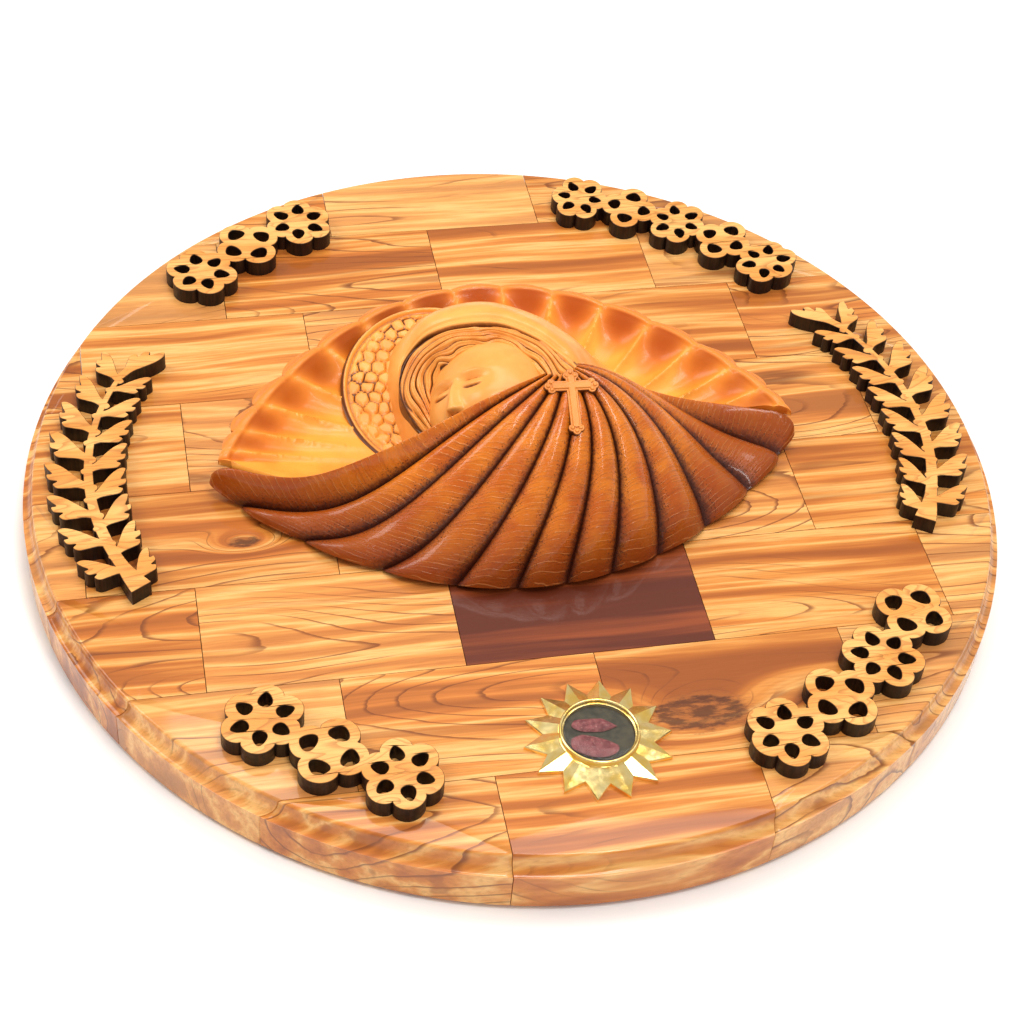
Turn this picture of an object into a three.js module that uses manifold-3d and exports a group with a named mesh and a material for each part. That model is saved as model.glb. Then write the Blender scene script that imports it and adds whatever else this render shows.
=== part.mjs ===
// Round blessing plaque of laminated olive wood with a cast offering shell on it.
// Millimetres, +Z up. The origin is the middle of the board's underside, +X runs along the staves
// and +Y points to the top of the plaque.
import * as THREE from 'three';
import { mergeVertices } from 'three/addons/utils/BufferGeometryUtils.js';
import Module from 'manifold-3d';

const wasm = await Module();
wasm.setup();

// ---- driving dimensions: board ----
const boardDiameter = 270;
const boardThickness = 18;
const coveWidth = 2.7;
const coveDepth = 4.5;
const shoulderRadius = 0.9;
const footChamfer = 1.2;
const staveWidth = 35.1;
const staveLength = 65.3;
const glueLine = 0.2;
const middleSeamOffset = -1.2;
const leastStave = 3;
// How far each row's joints are shifted along X, from the lowest row up.
const rowShift = [39.3, 6.2, 38.6, 11, 40.4, 13.9, 56.8, 27];
const rimSegments = 120;

// ---- driving dimensions: laser-cut trims ----
const cutThickness = 5;
const bandInset = 18.3;
const motifHeight = 22;
const widePitch = 18.8;
const narrowPitch = 16;
const motifOverlap = 0.8;
const holeDistance = 0.56;
const holeLength = 0.42;
const trimGap = 2.5;
// Each band: name, motifs, pitch, and the share of its arc's free length that lies before it.
const topBands = [
  ['ornament_top_right', 5, narrowPitch, 0.077],
  ['ornament_top_left', 3, widePitch, 0.703],
];
const lowerLeftBands = [['ornament_lower_left', 3, widePitch, 0.716]];
const lowerRightBands = [['ornament_lower_right', 4, widePitch, 0.35]];
const branchInset = 18.2;
const branchArcRadius = 79;
const leafPairs = 8;
const branchTurns = [211, 147];
const branchDrops = [2, 0];
const leafLength = 13;
const leafWidth = 5.6;
const leafLeans = [0.72, 0.66];
const stemWidth = 4.4;
const stemTaper = 0.62;

// ---- driving dimensions: cast shell ----
const shellLength = 160;
const shellCentreX = -2.5;
const dishDepth = 58;
const valveDepth = 46;
const tipSharpness = 1.84;
const dishRimHeight = 16;
const tipRimHeight = 11;
const dishFloor = 3.4;
const dishLobes = 15;
const lobeBulge = 2;
const valveHeight = 39.4;
const valveSeam = -1.9;
const umboX = 8.9;
const umboY = -6.3;
const swirl = 0.47;
const ribs = 12;
const ribHeight = 1.9;
const valveWall = 4.6;
const marginHeight = 2.8;
const marginEdge = 0.6;
const footSetback = 0.07;
const leftLipRise = 8;
const rightLipRise = 7;
const lipPower = 3;
const fanCrowding = 0.39;
const marginLead = 0.083;
const fanReachPower = 0.77;
const crownPower = [1.76, -0.65, -0.18];
const crownFlare = [1.31, -1.18, 3.1];
const ribRoundness = 0.8;
const ribStart = 0.3;
const rimPower = 0.8;
const bowlPower = 2.4;
const bowlEdge = 0.97;
const umboHole = 0.03;
const castGap = 0.5;

// ---- driving dimensions: relief figure and cross ----
const haloRadius = 26.5;
const haloTilt = 0.3;
const haloRise = 7.4;
const haloSpot = [-20, 20];
const figureX = -6;
const figureY = 3;
const headSize = [16, 18];
const headShift = [-2, 4];
const headDrop = 8.4;
const headRoot = 2.4;
const hairDrop = 11.4;
const hairRoot = 5.4;
const hoodOpening = 22;
const veilSize = [31, 34];
const veilShift = [7.5, 16];
const veilDrop = 6.4;
const veilRoot = 20.4;
const crossLength = 18;
const crossHead = 3.6;
const crossWidth = 13.5;
const crossBar = 3;
const crossThickness = 3.4;
const crossTilt = 0.36;
const crossLean = 0.06;
const crossDrop = 8.4;
const crossRise = 0.9;
const crossKnob = 1.35;
const seatGap = 0.3;

// ---- driving dimensions: relic case ----
const sunDiameter = 37.5;
const sunRays = 14;
const sunValleyDiameter = 26;
const sunThickness = 2;
const sunRimThickness = 1;
const sunInset = 35.5;
const sunX = 1.2;
const bezelDiameter = 20.4;
const bezelHeight = 2.6;
const bezelWall = 1.2;
const ledgeWidth = 0.9;
const ledgeHeight = 1.5;
const lensThickness = 0.9;
const backingThickness = 0.4;
const bezelChamfer = 0.5;
const bezelSeatEdge = 0.4;
// Each stone: name, x, y, half length, half width, turn.
const stones = [
  ['upper_stone', 0.6, 3.2, 3.3, 1.2, 0.35],
  ['lower_stone', -0.4, -1.6, 3.6, 2.4, -0.2],
];

const boardRadius = boardDiameter / 2;
const deck = boardThickness;
const farBelow = -4 * boardThickness;

const oliveColours = [0xd9953f, 0xe2a655, 0xc98434, 0xe8b76c, 0xd08a3c];
const palette = {
  ply: [0xd9a862, 0.55, 0],
  resin: [0xd07a26, 0.3, 0],
  resinPale: [0xe79a3e, 0.35, 0],
  gold: [0xe0b64a, 0.2, 1],
  lens: [0xdfe8e4, 0.05, 0],
  backing: [0x4a4a30, 0.6, 0],
  stone: [0xa8505a, 0.4, 0],
};

function finish([color, roughness, metalness]) {
  return new THREE.MeshStandardMaterial({ color, roughness, metalness });
}

const object = new THREE.Group();

function place(name, geometry, look) {
  const mesh = new THREE.Mesh(geometry, finish(look));
  mesh.name = name;
  object.add(mesh);
}

// ---- solids ----
function solidOf(geometry) {
  const bare = geometry.clone();
  bare.deleteAttribute('normal');
  bare.deleteAttribute('uv');
  const merged = mergeVertices(bare, 1e-4);
  const index = Array.from(merged.index.array);
  const kept = [];
  for (let i = 0; i < index.length; i += 3) {
    const [a, b, c] = index.slice(i, i + 3);
    if (a !== b && b !== c && c !== a) kept.push(a, b, c);
  }
  const vertProperties = new Float32Array(merged.attributes.position.array);
  let solid = new wasm.Manifold(
    new wasm.Mesh({ numProp: 3, vertProperties, triVerts: new Uint32Array(kept) }),
  );
  if (solid.volume() < 0) {
    for (let i = 0; i < kept.length; i += 3) [kept[i], kept[i + 1]] = [kept[i + 1], kept[i]];
    solid = new wasm.Manifold(
      new wasm.Mesh({ numProp: 3, vertProperties, triVerts: new Uint32Array(kept) }),
    );
  }
  return solid;
}

function geometryOf(solid) {
  const mesh = solid.getMesh();
  const geometry = new THREE.BufferGeometry();
  geometry.setAttribute('position', new THREE.BufferAttribute(new Float32Array(mesh.vertProperties), 3));
  geometry.setIndex(new THREE.BufferAttribute(new Uint32Array(mesh.triVerts), 1));
  geometry.computeVertexNormals();
  return geometry;
}

function warp(geometry, rule) {
  const spots = geometry.attributes.position;
  for (let i = 0; i < spots.count; i += 1) {
    const [x, y, z] = rule(spots.getX(i), spots.getY(i), spots.getZ(i));
    spots.setXYZ(i, x, y, z);
  }
  return geometry;
}

function lathe(profile, segments) {
  const points = profile.map(([r, z]) => new THREE.Vector2(r, z));
  return new THREE.LatheGeometry(points, segments).rotateX(Math.PI / 2);
}

function slab(shape, depth, z, curveSegments = 6) {
  const geometry = new THREE.ExtrudeGeometry(shape, { depth, bevelEnabled: false, curveSegments });
  return geometry.translate(0, 0, z);
}

function block(x0, x1, y0, y1, z0, z1) {
  const box = new THREE.BoxGeometry(x1 - x0, y1 - y0, z1 - z0);
  return box.translate((x0 + x1) / 2, (y0 + y1) / 2, (z0 + z1) / 2);
}

// ---- board: a turned disc cut into staves ----
function boardProfile() {
  const top = boardRadius - coveWidth - shoulderRadius;
  const profile = [[0, 0], [boardRadius - footChamfer, 0], [boardRadius, footChamfer]];
  const coveTop = boardThickness - shoulderRadius;
  for (let step = 0; step <= 3; step += 1) {
    const turn = (Math.PI / 2) * (1 - step / 3);
    profile.push([boardRadius - coveWidth * Math.cos(turn), coveTop - coveDepth * Math.sin(turn)]);
  }
  profile.push([top + shoulderRadius * Math.SQRT1_2, coveTop + shoulderRadius * Math.SQRT1_2]);
  profile.push([top, boardThickness], [0, boardThickness]);
  return profile;
}

function addBoard() {
  const disc = solidOf(lathe(boardProfile(), rimSegments));
  const margin = boardRadius + 1;
  const seamRadius = boardRadius - leastStave;
  const rowsBelow = Math.ceil((seamRadius + middleSeamOffset) / staveWidth);
  const rowsAbove = Math.ceil((seamRadius - middleSeamOffset) / staveWidth);
  const rows = rowsBelow + rowsAbove;
  for (let row = 0; row < rows; row += 1) {
    const shift = rowShift[row % rowShift.length];
    const seam = middleSeamOffset + (row - rowsBelow) * staveWidth;
    const y0 = row === 0 ? -margin : seam + glueLine / 2;
    const y1 = row === rows - 1 ? margin : seam + staveWidth - glueLine / 2;
    const reachY = Math.max(0, y0, -y1);
    const halfChord = Math.sqrt(boardRadius ** 2 - reachY ** 2) - leastStave;
    const first = Math.ceil((-halfChord - shift) / staveLength);
    const last = Math.floor((halfChord - shift) / staveLength);
    for (let joint = first; joint <= last + 1; joint += 1) {
      const x0 = joint === first ? -margin : shift + (joint - 1) * staveLength + glueLine / 2;
      const x1 = joint === last + 1 ? margin : shift + joint * staveLength - glueLine / 2;
      const cutter = solidOf(block(x0, x1, y0, y1, -1, boardThickness + 1));
      const name = `stave_${row + 1}_${joint - first + 1}`;
      const tone = oliveColours[(row * 2 + joint + 20) % oliveColours.length];
      place(name, geometryOf(disc.intersect(cutter)), [tone, 0.25, 0]);
    }
  }
}

// ---- laser-cut ornament bands ----
function loopShape(count, rule) {
  const points = [];
  for (let i = 0; i < count; i += 1) points.push(new THREE.Vector2(...rule((i / count) * 2 * Math.PI)));
  return new THREE.Shape(points);
}

// A drop-shaped hole, centred at a distance from the motif's middle and pointing outwards.
function dropHole(distance, angle, length, width) {
  const hole = new THREE.Path();
  const steps = 6;
  const pointedness = 0.35;
  for (let i = 0; i < steps; i += 1) {
    const turn = (i / steps) * 2 * Math.PI;
    const along = distance + (length / 2) * Math.cos(turn);
    const across = (width / 2) * Math.sin(turn) * (1 - pointedness * Math.cos(turn));
    const x = along * Math.cos(angle) - across * Math.sin(angle);
    const y = along * Math.sin(angle) + across * Math.cos(angle);
    if (i === 0) hole.moveTo(x, y);
    else hole.lineTo(x, y);
  }
  hole.closePath();
  return hole;
}

// A foil of round lobes with a drop-shaped hole in each; notch is the share that it steps in.
function foilShape(width, height, lobes, notch, turn) {
  const lobeRoundness = 0.7;
  const shape = loopShape(lobes * 5, (angle) => {
    const swell = Math.abs(Math.cos((lobes * (angle - turn)) / 2)) ** lobeRoundness;
    const reach = 1 - notch * (1 - swell);
    return [(width / 2) * reach * Math.cos(angle), (height / 2) * reach * Math.sin(angle)];
  });
  for (let lobe = 0; lobe < lobes; lobe += 1) {
    const angle = turn + (lobe / lobes) * 2 * Math.PI;
    const reach = Math.hypot((width / 2) * Math.cos(angle), (height / 2) * Math.sin(angle));
    shape.holes.push(dropHole(reach * holeDistance, angle, reach * holeLength, width / lobes));
  }
  return shape;
}

function addBand(name, count, pitch, start) {
  const radius = boardRadius - bandInset;
  let band = null;
  for (let i = 0; i < count; i += 1) {
    const angle = start + ((i + 0.5) * pitch) / radius;
    const across = pitch + motifOverlap * 2;
    const rosette = i % 2 === 0;
    const shape = rosette
      ? foilShape(across, motifHeight, 6, 0.2, 0)
      : foilShape(across, motifHeight * 0.94, 4, 0.3, Math.PI / 2);
    const motif = slab(shape, cutThickness, deck);
    motif.translate(0, radius, 0);
    motif.rotateZ(angle - Math.PI / 2);
    band = band ? band.add(solidOf(motif)) : solidOf(motif);
  }
  place(name, geometryOf(band), palette.ply);
}

// Lays bands one after the other in the arc between two angles and shares out the free length.
function addBands(bands, from, to) {
  const radius = boardRadius - bandInset;
  const taken = bands.reduce((sum, [, count, pitch]) => sum + (count * pitch) / radius, 0);
  let start = from;
  for (const [name, count, pitch, share] of bands) {
    start += (to - from - taken) * share;
    addBand(name, count, pitch, start);
    start += (count * pitch) / radius;
  }
}

// The bands keep clear of the branches' ends and of the sunburst.
function addAllBands() {
  const radius = boardRadius - bandInset;
  const sunDistance = boardRadius - sunInset;
  const tip = branchEnds(1);
  const base = branchEnds(0);
  const tipClear = (leafLength + trimGap) / radius;
  const baseClear = trimGap / radius;
  const sunMiddle = Math.atan2(-sunDistance, sunX) + 2 * Math.PI;
  const sunClear = Math.asin((sunDiameter / 2 + trimGap) / sunDistance);
  addBands(topBands, tip.right + tipClear, tip.left - tipClear);
  addBands(lowerLeftBands, base.left + baseClear, sunMiddle - sunClear);
  addBands(lowerRightBands, sunMiddle + sunClear, base.right - baseClear);
}

// ---- laser-cut branches ----
// The angles about the board's middle at which the two stems end; end 0 is the base and 1 the tip.
function branchEnds(end) {
  const turn = THREE.MathUtils.degToRad(branchTurns[end]);
  const x = branchArcRadius + branchInset - boardRadius + branchArcRadius * Math.cos(turn);
  const y = branchArcRadius * Math.sin(turn);
  const whole = (angle) => (angle + 2 * Math.PI) % (2 * Math.PI);
  return {
    left: whole(Math.atan2(y + branchDrops[0], x)),
    right: whole(Math.atan2(y + branchDrops[1], -x)),
  };
}

function leafShape(length, width, side) {
  const shape = new THREE.Shape();
  const s = side;
  shape.moveTo(-0.12 * length, -0.12 * width * s);
  shape.quadraticCurveTo(0.25 * length, 0.62 * width * s, length, 0.3 * width * s);
  shape.quadraticCurveTo(0.86 * length, -0.16 * width * s, 0.66 * length, -0.12 * width * s);
  shape.quadraticCurveTo(0.72 * length, -0.42 * width * s, 0.6 * length, -0.52 * width * s);
  shape.quadraticCurveTo(0.3 * length, -0.6 * width * s, 0.06 * length, -0.5 * width * s);
  return shape;
}

function stemShape(start, end) {
  const outer = [];
  const inner = [];
  const steps = 12;
  for (let i = 0; i <= steps; i += 1) {
    const share = i / steps;
    const angle = start + (end - start) * share;
    const half = (stemWidth / 2) * (1 - stemTaper * share);
    const heading = new THREE.Vector2(Math.cos(angle), Math.sin(angle));
    outer.push(heading.clone().multiplyScalar(branchArcRadius + half));
    inner.push(heading.clone().multiplyScalar(branchArcRadius - half));
  }
  return new THREE.Shape(outer.concat(inner.reverse()));
}

function addBranch(name, mirror, dropY) {
  const [start, end] = branchTurns.map((turn) => THREE.MathUtils.degToRad(turn));
  const centreX = branchArcRadius + branchInset - boardRadius;
  let branch = solidOf(slab(stemShape(start, end), cutThickness, 0));
  const leaf = (share, side, size, lean) => {
    const angle = start + (end - start) * share;
    const heading = angle - Math.PI / 2 - side * lean;
    const geometry = slab(leafShape(leafLength * size, leafWidth * size, side), cutThickness, 0, 4);
    geometry.rotateZ(heading);
    geometry.translate(branchArcRadius * Math.cos(angle), branchArcRadius * Math.sin(angle), 0);
    branch = branch.add(solidOf(geometry));
  };
  for (let pair = 0; pair < leafPairs; pair += 1) {
    const share = 0.1 + (0.86 * pair) / (leafPairs - 1);
    const size = 0.92 + 0.22 * Math.sin(share * Math.PI);
    leaf(share, 1, size, leafLeans[0]);
    leaf(share - 0.05, -1, size * 0.92, leafLeans[1]);
  }
  leaf(0.99, 1, 1, 0.05);
  const geometry = geometryOf(branch);
  geometry.translate(centreX, dropY, deck);
  if (!mirror) {
    place(name, geometry, palette.ply);
    return;
  }
  const flipped = solidOf(warp(geometry, (x, y, z) => [-x, y, z]));
  place(name, geometryOf(flipped), palette.ply);
}

// ---- cast shell ----
// The plan outline is a pointed oval: turn 0 is the right tip, PI the left tip.
function outline(turn) {
  const rise = Math.abs(Math.sin(turn)) ** tipSharpness;
  const depth = Math.sin(turn) >= 0 ? dishDepth : -valveDepth;
  return [shellCentreX + (shellLength / 2) * Math.cos(turn), valveSeam + depth * rise];
}

function rimHeight(turn) {
  return tipRimHeight + (dishRimHeight - tipRimHeight) * Math.abs(Math.sin(turn)) ** rimPower;
}

// Point of the dish at a turn and at a share of the way out, with the scalloped lobes of its rim.
function dishPoint(turn, share, z) {
  const [x, y] = outline(turn);
  const lobe = Math.sin(turn) > 0 ? Math.abs(Math.sin((turn / Math.PI) * dishLobes * Math.PI)) : 0;
  const swell = 1 + (lobe * lobeBulge * share ** 4) / ((dishDepth + shellLength / 2) / 2);
  const reach = share * swell;
  return [shellCentreX + (x - shellCentreX) * reach, valveSeam + (y - valveSeam) * reach, z];
}

function innerDishHeight(turn, share) {
  return dishFloor + (rimHeight(turn) - dishFloor) * Math.min(1, share / bowlEdge) ** bowlPower;
}

function dishSolid() {
  // The profile holds shares of the way out; the second value picks the underside or the inside.
  const under = [[0, 0], [0.55, 0], [0.74, 0.12], [0.88, 0.42], [0.97, 0.8], [1, 0.94]];
  const inside = [0.985, 0.95, 0.88, 0.78, 0.62, 0.4, 0];
  const profile = under.concat(inside.map((share, i) => [share, 2 + i]));
  return solidOf(
    warp(lathe(profile, dishLobes * 8), (x, y, mark) => {
      const share = Math.hypot(x, y);
      const turn = Math.atan2(y, x);
      const height = mark < 1.5 ? rimHeight(turn) * mark : innerDishHeight(turn, share);
      return dishPoint(turn, share, deck + height);
    }),
  );
}

// Everything below the inside of the dish, raised by a clearance, trims what sits in the dish.
function underDish(lift) {
  const shares = [1.1, 0.97, 0.88, 0.78, 0.62, 0.4, 0];
  const profile = [[0, 0], [1.1, 0]].concat(shares.map((share, i) => [share, 1 + i]));
  return solidOf(
    warp(lathe(profile, dishLobes * 4), (x, y, mark) => {
      const share = Math.hypot(x, y);
      const turn = Math.atan2(y, x);
      const top = deck + innerDishHeight(turn, share) + lift;
      return dishPoint(turn, share, mark < 0.5 ? farBelow : top);
    }),
  );
}

// Point of the ribbed front valve: fan runs 0 to 1 from the left lip to the right lip, out runs
// 0 to 1 from the umbo to the margin. The ribs swirl about the umbo on their way out.
function valvePoint(fan, out, ribbed) {
  const side = 2 * fan - 1;
  const turn = Math.PI * (1 + fan) + (fanCrowding / 2) * Math.sin(2 * Math.PI * fan);
  const [marginX, marginY] = outline(turn + marginLead * Math.sin(Math.PI * fan));
  const reach = out ** fanReachPower;
  const twist = swirl * (1 - out);
  const dx = marginX - umboX;
  const dy = marginY - umboY;
  const x = umboX + reach * (dx * Math.cos(twist) - dy * Math.sin(twist));
  const y = umboY + reach * (dx * Math.sin(twist) + dy * Math.cos(twist));
  const across = ([level, slope, bend]) => level + slope * side + bend * side * side;
  const power = across(crownPower);
  const flare = across(crownFlare);
  const fall = Math.max(0, 1 - out ** power) ** flare;
  let z = marginHeight + (valveHeight - marginHeight) * fall;
  z += leftLipRise * out ** lipPower * Math.max(0, 1 - ribs * fan);
  z += rightLipRise * (1 - (1 - out) ** lipPower) * Math.max(0, 1 - ribs * (1 - fan));
  if (!ribbed) return [x, y, z];
  const rib = Math.abs(Math.sin(Math.PI * ribs * fan)) ** ribRoundness;
  return [x, y, z + ribHeight * (ribStart + (1 - ribStart) * out) * rib];
}

function valveSolid(upper, lower) {
  const box = new THREE.BoxGeometry(1, 1, 1, ribs * 4, 10, 1).translate(0.5, 0.5, 0.5);
  return solidOf(
    warp(box, (fan, step, side) => {
      const out = umboHole + (1 - umboHole) * step;
      return side > 0.5 ? upper(fan, out) : lower(fan, out);
    }),
  );
}

function valveTop(fan, out, lift) {
  const [x, y, z] = valvePoint(fan, out, true);
  return [x, y, deck + Math.max(z, marginEdge) + lift];
}

function frontShell() {
  return valveSolid(
    (fan, out) => valveTop(fan, out, 0),
    (fan, out) => {
      const [x, y, z] = valvePoint(fan, out * (1 - footSetback), false);
      return [x, y, deck + Math.max(z - valveWall, 0)];
    },
  );
}

// The valve's outside, raised by a clearance and filled in below, trims what lies on it.
function underValve(lift) {
  return valveSolid(
    (fan, out) => valveTop(fan, out, lift),
    (fan, out) => {
      const [x, y] = valvePoint(fan, out, false);
      return [x, y, farBelow];
    },
  );
}

// The room that the front valve takes, from the board up, moved back by the casting gap.
function valveRoom() {
  const wall = (fan, out, z) => {
    const [x, y] = valvePoint(fan, out * 1.2, false);
    return [x, y + castGap, z];
  };
  return valveSolid(
    (fan, out) => wall(fan, out, deck + valveHeight * 2),
    (fan, out) => wall(fan, out, farBelow),
  );
}

function ball(size, centre, grow = 0) {
  const sphere = new THREE.SphereGeometry(1, 20, 12);
  sphere.rotateX(Math.PI / 2);
  sphere.scale(size[0] + grow, size[1] + grow, size[2] + grow);
  return solidOf(sphere.translate(...centre));
}

function haloBlank(lift) {
  const disc = lathe([[0, 0], [haloRadius, 0], [haloRadius, 1], [0, 1]], 48);
  return solidOf(
    warp(disc, (x, y, mark) => {
      const top = deck + dishFloor + haloRise + haloTilt * y + lift;
      return [haloSpot[0] + x, haloSpot[1] + y, mark > 0.5 ? top : deck];
    }),
  );
}

// The cross is a flat bar lying on the convex fan, so its underside is trimmed to the ribs.
function crossSolid() {
  const bar = crossBar / 2;
  const arm = crossWidth / 2;
  const foot = crossHead - crossLength;
  let cross = solidOf(block(-bar, bar, foot, crossHead, -crossThickness, 0));
  cross = cross.add(solidOf(block(-arm, arm, -bar, bar, -crossThickness, 0)));
  const knobRadius = bar * crossKnob;
  const profile = [[0, -crossThickness], [knobRadius, -crossThickness], [knobRadius, 0], [0, 0]];
  for (const [x, y] of [[arm, 0], [-arm, 0], [0, crossHead], [0, foot]]) {
    cross = cross.add(solidOf(lathe(profile, 12).translate(x, y, 0)));
  }
  const geometry = geometryOf(cross);
  geometry.rotateX(crossTilt);
  geometry.rotateZ(-crossLean);
  geometry.translate(umboX, umboY - crossDrop, deck + valveHeight + crossRise);
  const bed = underValve(seatGap);
  return solidOf(geometry).subtract(bed).subtract(bed.translate([0, castGap, 0]));
}

// An egg that stands in the dish: its top is a drop below the valve's crown, and its foot is rooted a
// little below the dish's floor, so that trimming leaves it seated.
function standingEgg([halfX, halfY], [x, y], drop, root, grow = 0) {
  const top = valveHeight - drop;
  const foot = dishFloor - root;
  return ball([halfX, halfY, (top - foot) / 2], [x, y, deck + (top + foot) / 2], grow);
}

// The figure is cut in order, so that each piece rests on the one below it with a small gap.
function addShell() {
  const room = valveRoom();
  const bed = underDish(seatGap);
  place('shell_dish', geometryOf(dishSolid().subtract(room)), palette.resinPale);
  place('front_shell', geometryOf(frontShell()), palette.resin);

  const trim = (solid) => solid.subtract(room).subtract(bed);
  const headSpot = [figureX + headShift[0], figureY + headShift[1]];
  const hairSpot = [figureX, figureY];
  const hairSize = [hoodOpening - seatGap, hoodOpening - seatGap];
  const veilSpot = [figureX + veilShift[0], figureY + veilShift[1]];
  const hairMiddle = deck + (valveHeight - hairDrop + dishFloor - hairRoot) / 2;
  const opening = ball([hoodOpening, hoodOpening, valveHeight * 2], [...hairSpot, hairMiddle]);
  const clearVeil = standingEgg(veilSize, veilSpot, veilDrop, veilRoot, seatGap);
  const clearHalo = haloBlank(seatGap);
  const clearHead = standingEgg(headSize, headSpot, headDrop, headRoot, seatGap);
  const head = trim(standingEgg(headSize, headSpot, headDrop, headRoot)).subtract(clearHalo);
  const hair = trim(standingEgg(hairSize, hairSpot, hairDrop, hairRoot)).subtract(clearHead);
  const wholeVeil = standingEgg(veilSize, veilSpot, veilDrop, veilRoot);
  const veil = trim(wholeVeil).subtract(opening).subtract(clearHead);
  const halo = trim(haloBlank(0)).subtract(clearVeil);
  place('veiled_head', geometryOf(head), palette.resinPale);
  place('hair_band', geometryOf(hair.subtract(clearHalo)), palette.resin);
  place('veil', geometryOf(veil.subtract(clearHalo)), palette.resinPale);
  place('halo_disc', geometryOf(halo), palette.resinPale);
  place('valve_cross', geometryOf(crossSolid()), palette.resinPale);
}

// ---- relic case: ridged sunburst, bezel, backing, stones and lens ----
function addRelicCase() {
  const spot = [sunX, sunInset - boardRadius];
  const tip = sunDiameter / 2;
  const valley = sunValleyDiameter / 2;
  const seat = bezelDiameter / 2 + bezelSeatEdge;
  const flat = [[0, 0], [1, 0], [1, sunRimThickness], [seat / tip, sunThickness], [0, sunThickness]];
  const star = warp(lathe(flat, sunRays * 2), (x, y, z) => {
    const radius = Math.hypot(x, y);
    const turn = Math.atan2(y, x);
    const ray = Math.abs(Math.cos((turn * sunRays) / 2));
    const edge = ray > 0.5 ? tip : valley;
    const reach = radius > 0.99 ? edge : radius * tip;
    return [reach * Math.cos(turn), reach * Math.sin(turn), z];
  });
  place('sunburst', geometryOf(solidOf(star.translate(spot[0], spot[1], deck))), palette.gold);

  const floor = deck + sunThickness;
  const outer = bezelDiameter / 2;
  const inner = outer - bezelWall;
  const ledge = inner - ledgeWidth;
  const bezel = [
    [ledge, 0], [outer, 0], [outer, bezelHeight - bezelChamfer], [outer - bezelChamfer, bezelHeight],
    [inner, bezelHeight], [inner, ledgeHeight], [ledge, ledgeHeight], [ledge, 0],
  ];
  place('bezel_ring', lathe(bezel, 48).translate(spot[0], spot[1], floor), palette.gold);

  const backingRadius = ledge - seatGap;
  const disc = [[0, 0], [backingRadius, 0], [backingRadius, backingThickness], [0, backingThickness]];
  place('backing_disc', lathe(disc, 32).translate(spot[0], spot[1], floor), palette.backing);

  const lensRadius = inner - seatGap;
  const lens = [
    [0, 0], [lensRadius, 0], [lensRadius, lensThickness * 0.55], [lensRadius * 0.6, lensThickness * 0.9],
    [0, lensThickness],
  ];
  place('case_lens', lathe(lens, 48).translate(spot[0], spot[1], floor + ledgeHeight), palette.lens);

  const roomHeight = ledgeHeight - backingThickness - seatGap * 2;
  for (const [name, x, y, halfLength, halfWidth, turn] of stones) {
    const stone = new THREE.SphereGeometry(1, 12, 8);
    stone.scale(halfLength, halfWidth, roomHeight / 2);
    stone.rotateZ(turn);
    const z = floor + backingThickness + seatGap + roomHeight / 2;
    place(name, stone.translate(spot[0] + x, spot[1] + y, z), palette.stone);
  }
}

addBoard();
addAllBands();
addBranch('branch_left', false, branchDrops[0]);
addBranch('branch_right', true, branchDrops[1]);
addShell();
addRelicCase();

export default object;
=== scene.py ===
"""A round olive-wood blessing plaque: laminated board, cut-out trims, cast shell with a veiled figure,
and a relic case."""

import math

import bmesh
import bpy
import numpy as np
from mathutils import Matrix, Vector
from mathutils.geometry import tessellate_polygon


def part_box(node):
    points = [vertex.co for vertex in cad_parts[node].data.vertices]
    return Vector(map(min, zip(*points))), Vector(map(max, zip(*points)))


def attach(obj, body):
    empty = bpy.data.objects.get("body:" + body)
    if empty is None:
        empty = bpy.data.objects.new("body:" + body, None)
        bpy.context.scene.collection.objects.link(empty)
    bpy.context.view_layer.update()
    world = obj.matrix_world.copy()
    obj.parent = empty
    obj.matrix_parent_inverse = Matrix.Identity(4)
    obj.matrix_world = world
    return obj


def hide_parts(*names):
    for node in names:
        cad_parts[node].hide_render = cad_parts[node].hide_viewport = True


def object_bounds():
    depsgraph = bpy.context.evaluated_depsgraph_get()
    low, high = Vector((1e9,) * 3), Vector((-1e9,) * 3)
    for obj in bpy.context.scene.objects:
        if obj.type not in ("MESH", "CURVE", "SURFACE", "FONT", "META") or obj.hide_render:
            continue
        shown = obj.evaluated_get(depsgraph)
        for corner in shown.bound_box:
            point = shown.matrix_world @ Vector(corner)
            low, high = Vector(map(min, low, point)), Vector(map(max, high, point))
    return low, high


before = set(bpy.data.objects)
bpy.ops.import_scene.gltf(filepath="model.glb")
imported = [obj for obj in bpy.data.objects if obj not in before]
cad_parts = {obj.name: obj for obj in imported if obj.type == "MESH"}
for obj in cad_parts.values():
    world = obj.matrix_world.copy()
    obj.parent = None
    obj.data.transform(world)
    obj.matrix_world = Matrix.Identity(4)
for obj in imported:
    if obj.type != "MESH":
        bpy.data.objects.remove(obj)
cad_box = [list(corner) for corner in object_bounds()]

MM = 0.001
TAU = 2 * math.pi

# ---- places and sizes from the frame, in millimetres ----
BOARD_RADIUS = max(abs(cad_box[0][0]), cad_box[1][0]) / MM
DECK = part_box("stave_4_3")[1].z / MM
SUN_LOW, SUN_HIGH = [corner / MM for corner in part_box("sunburst")]

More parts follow.
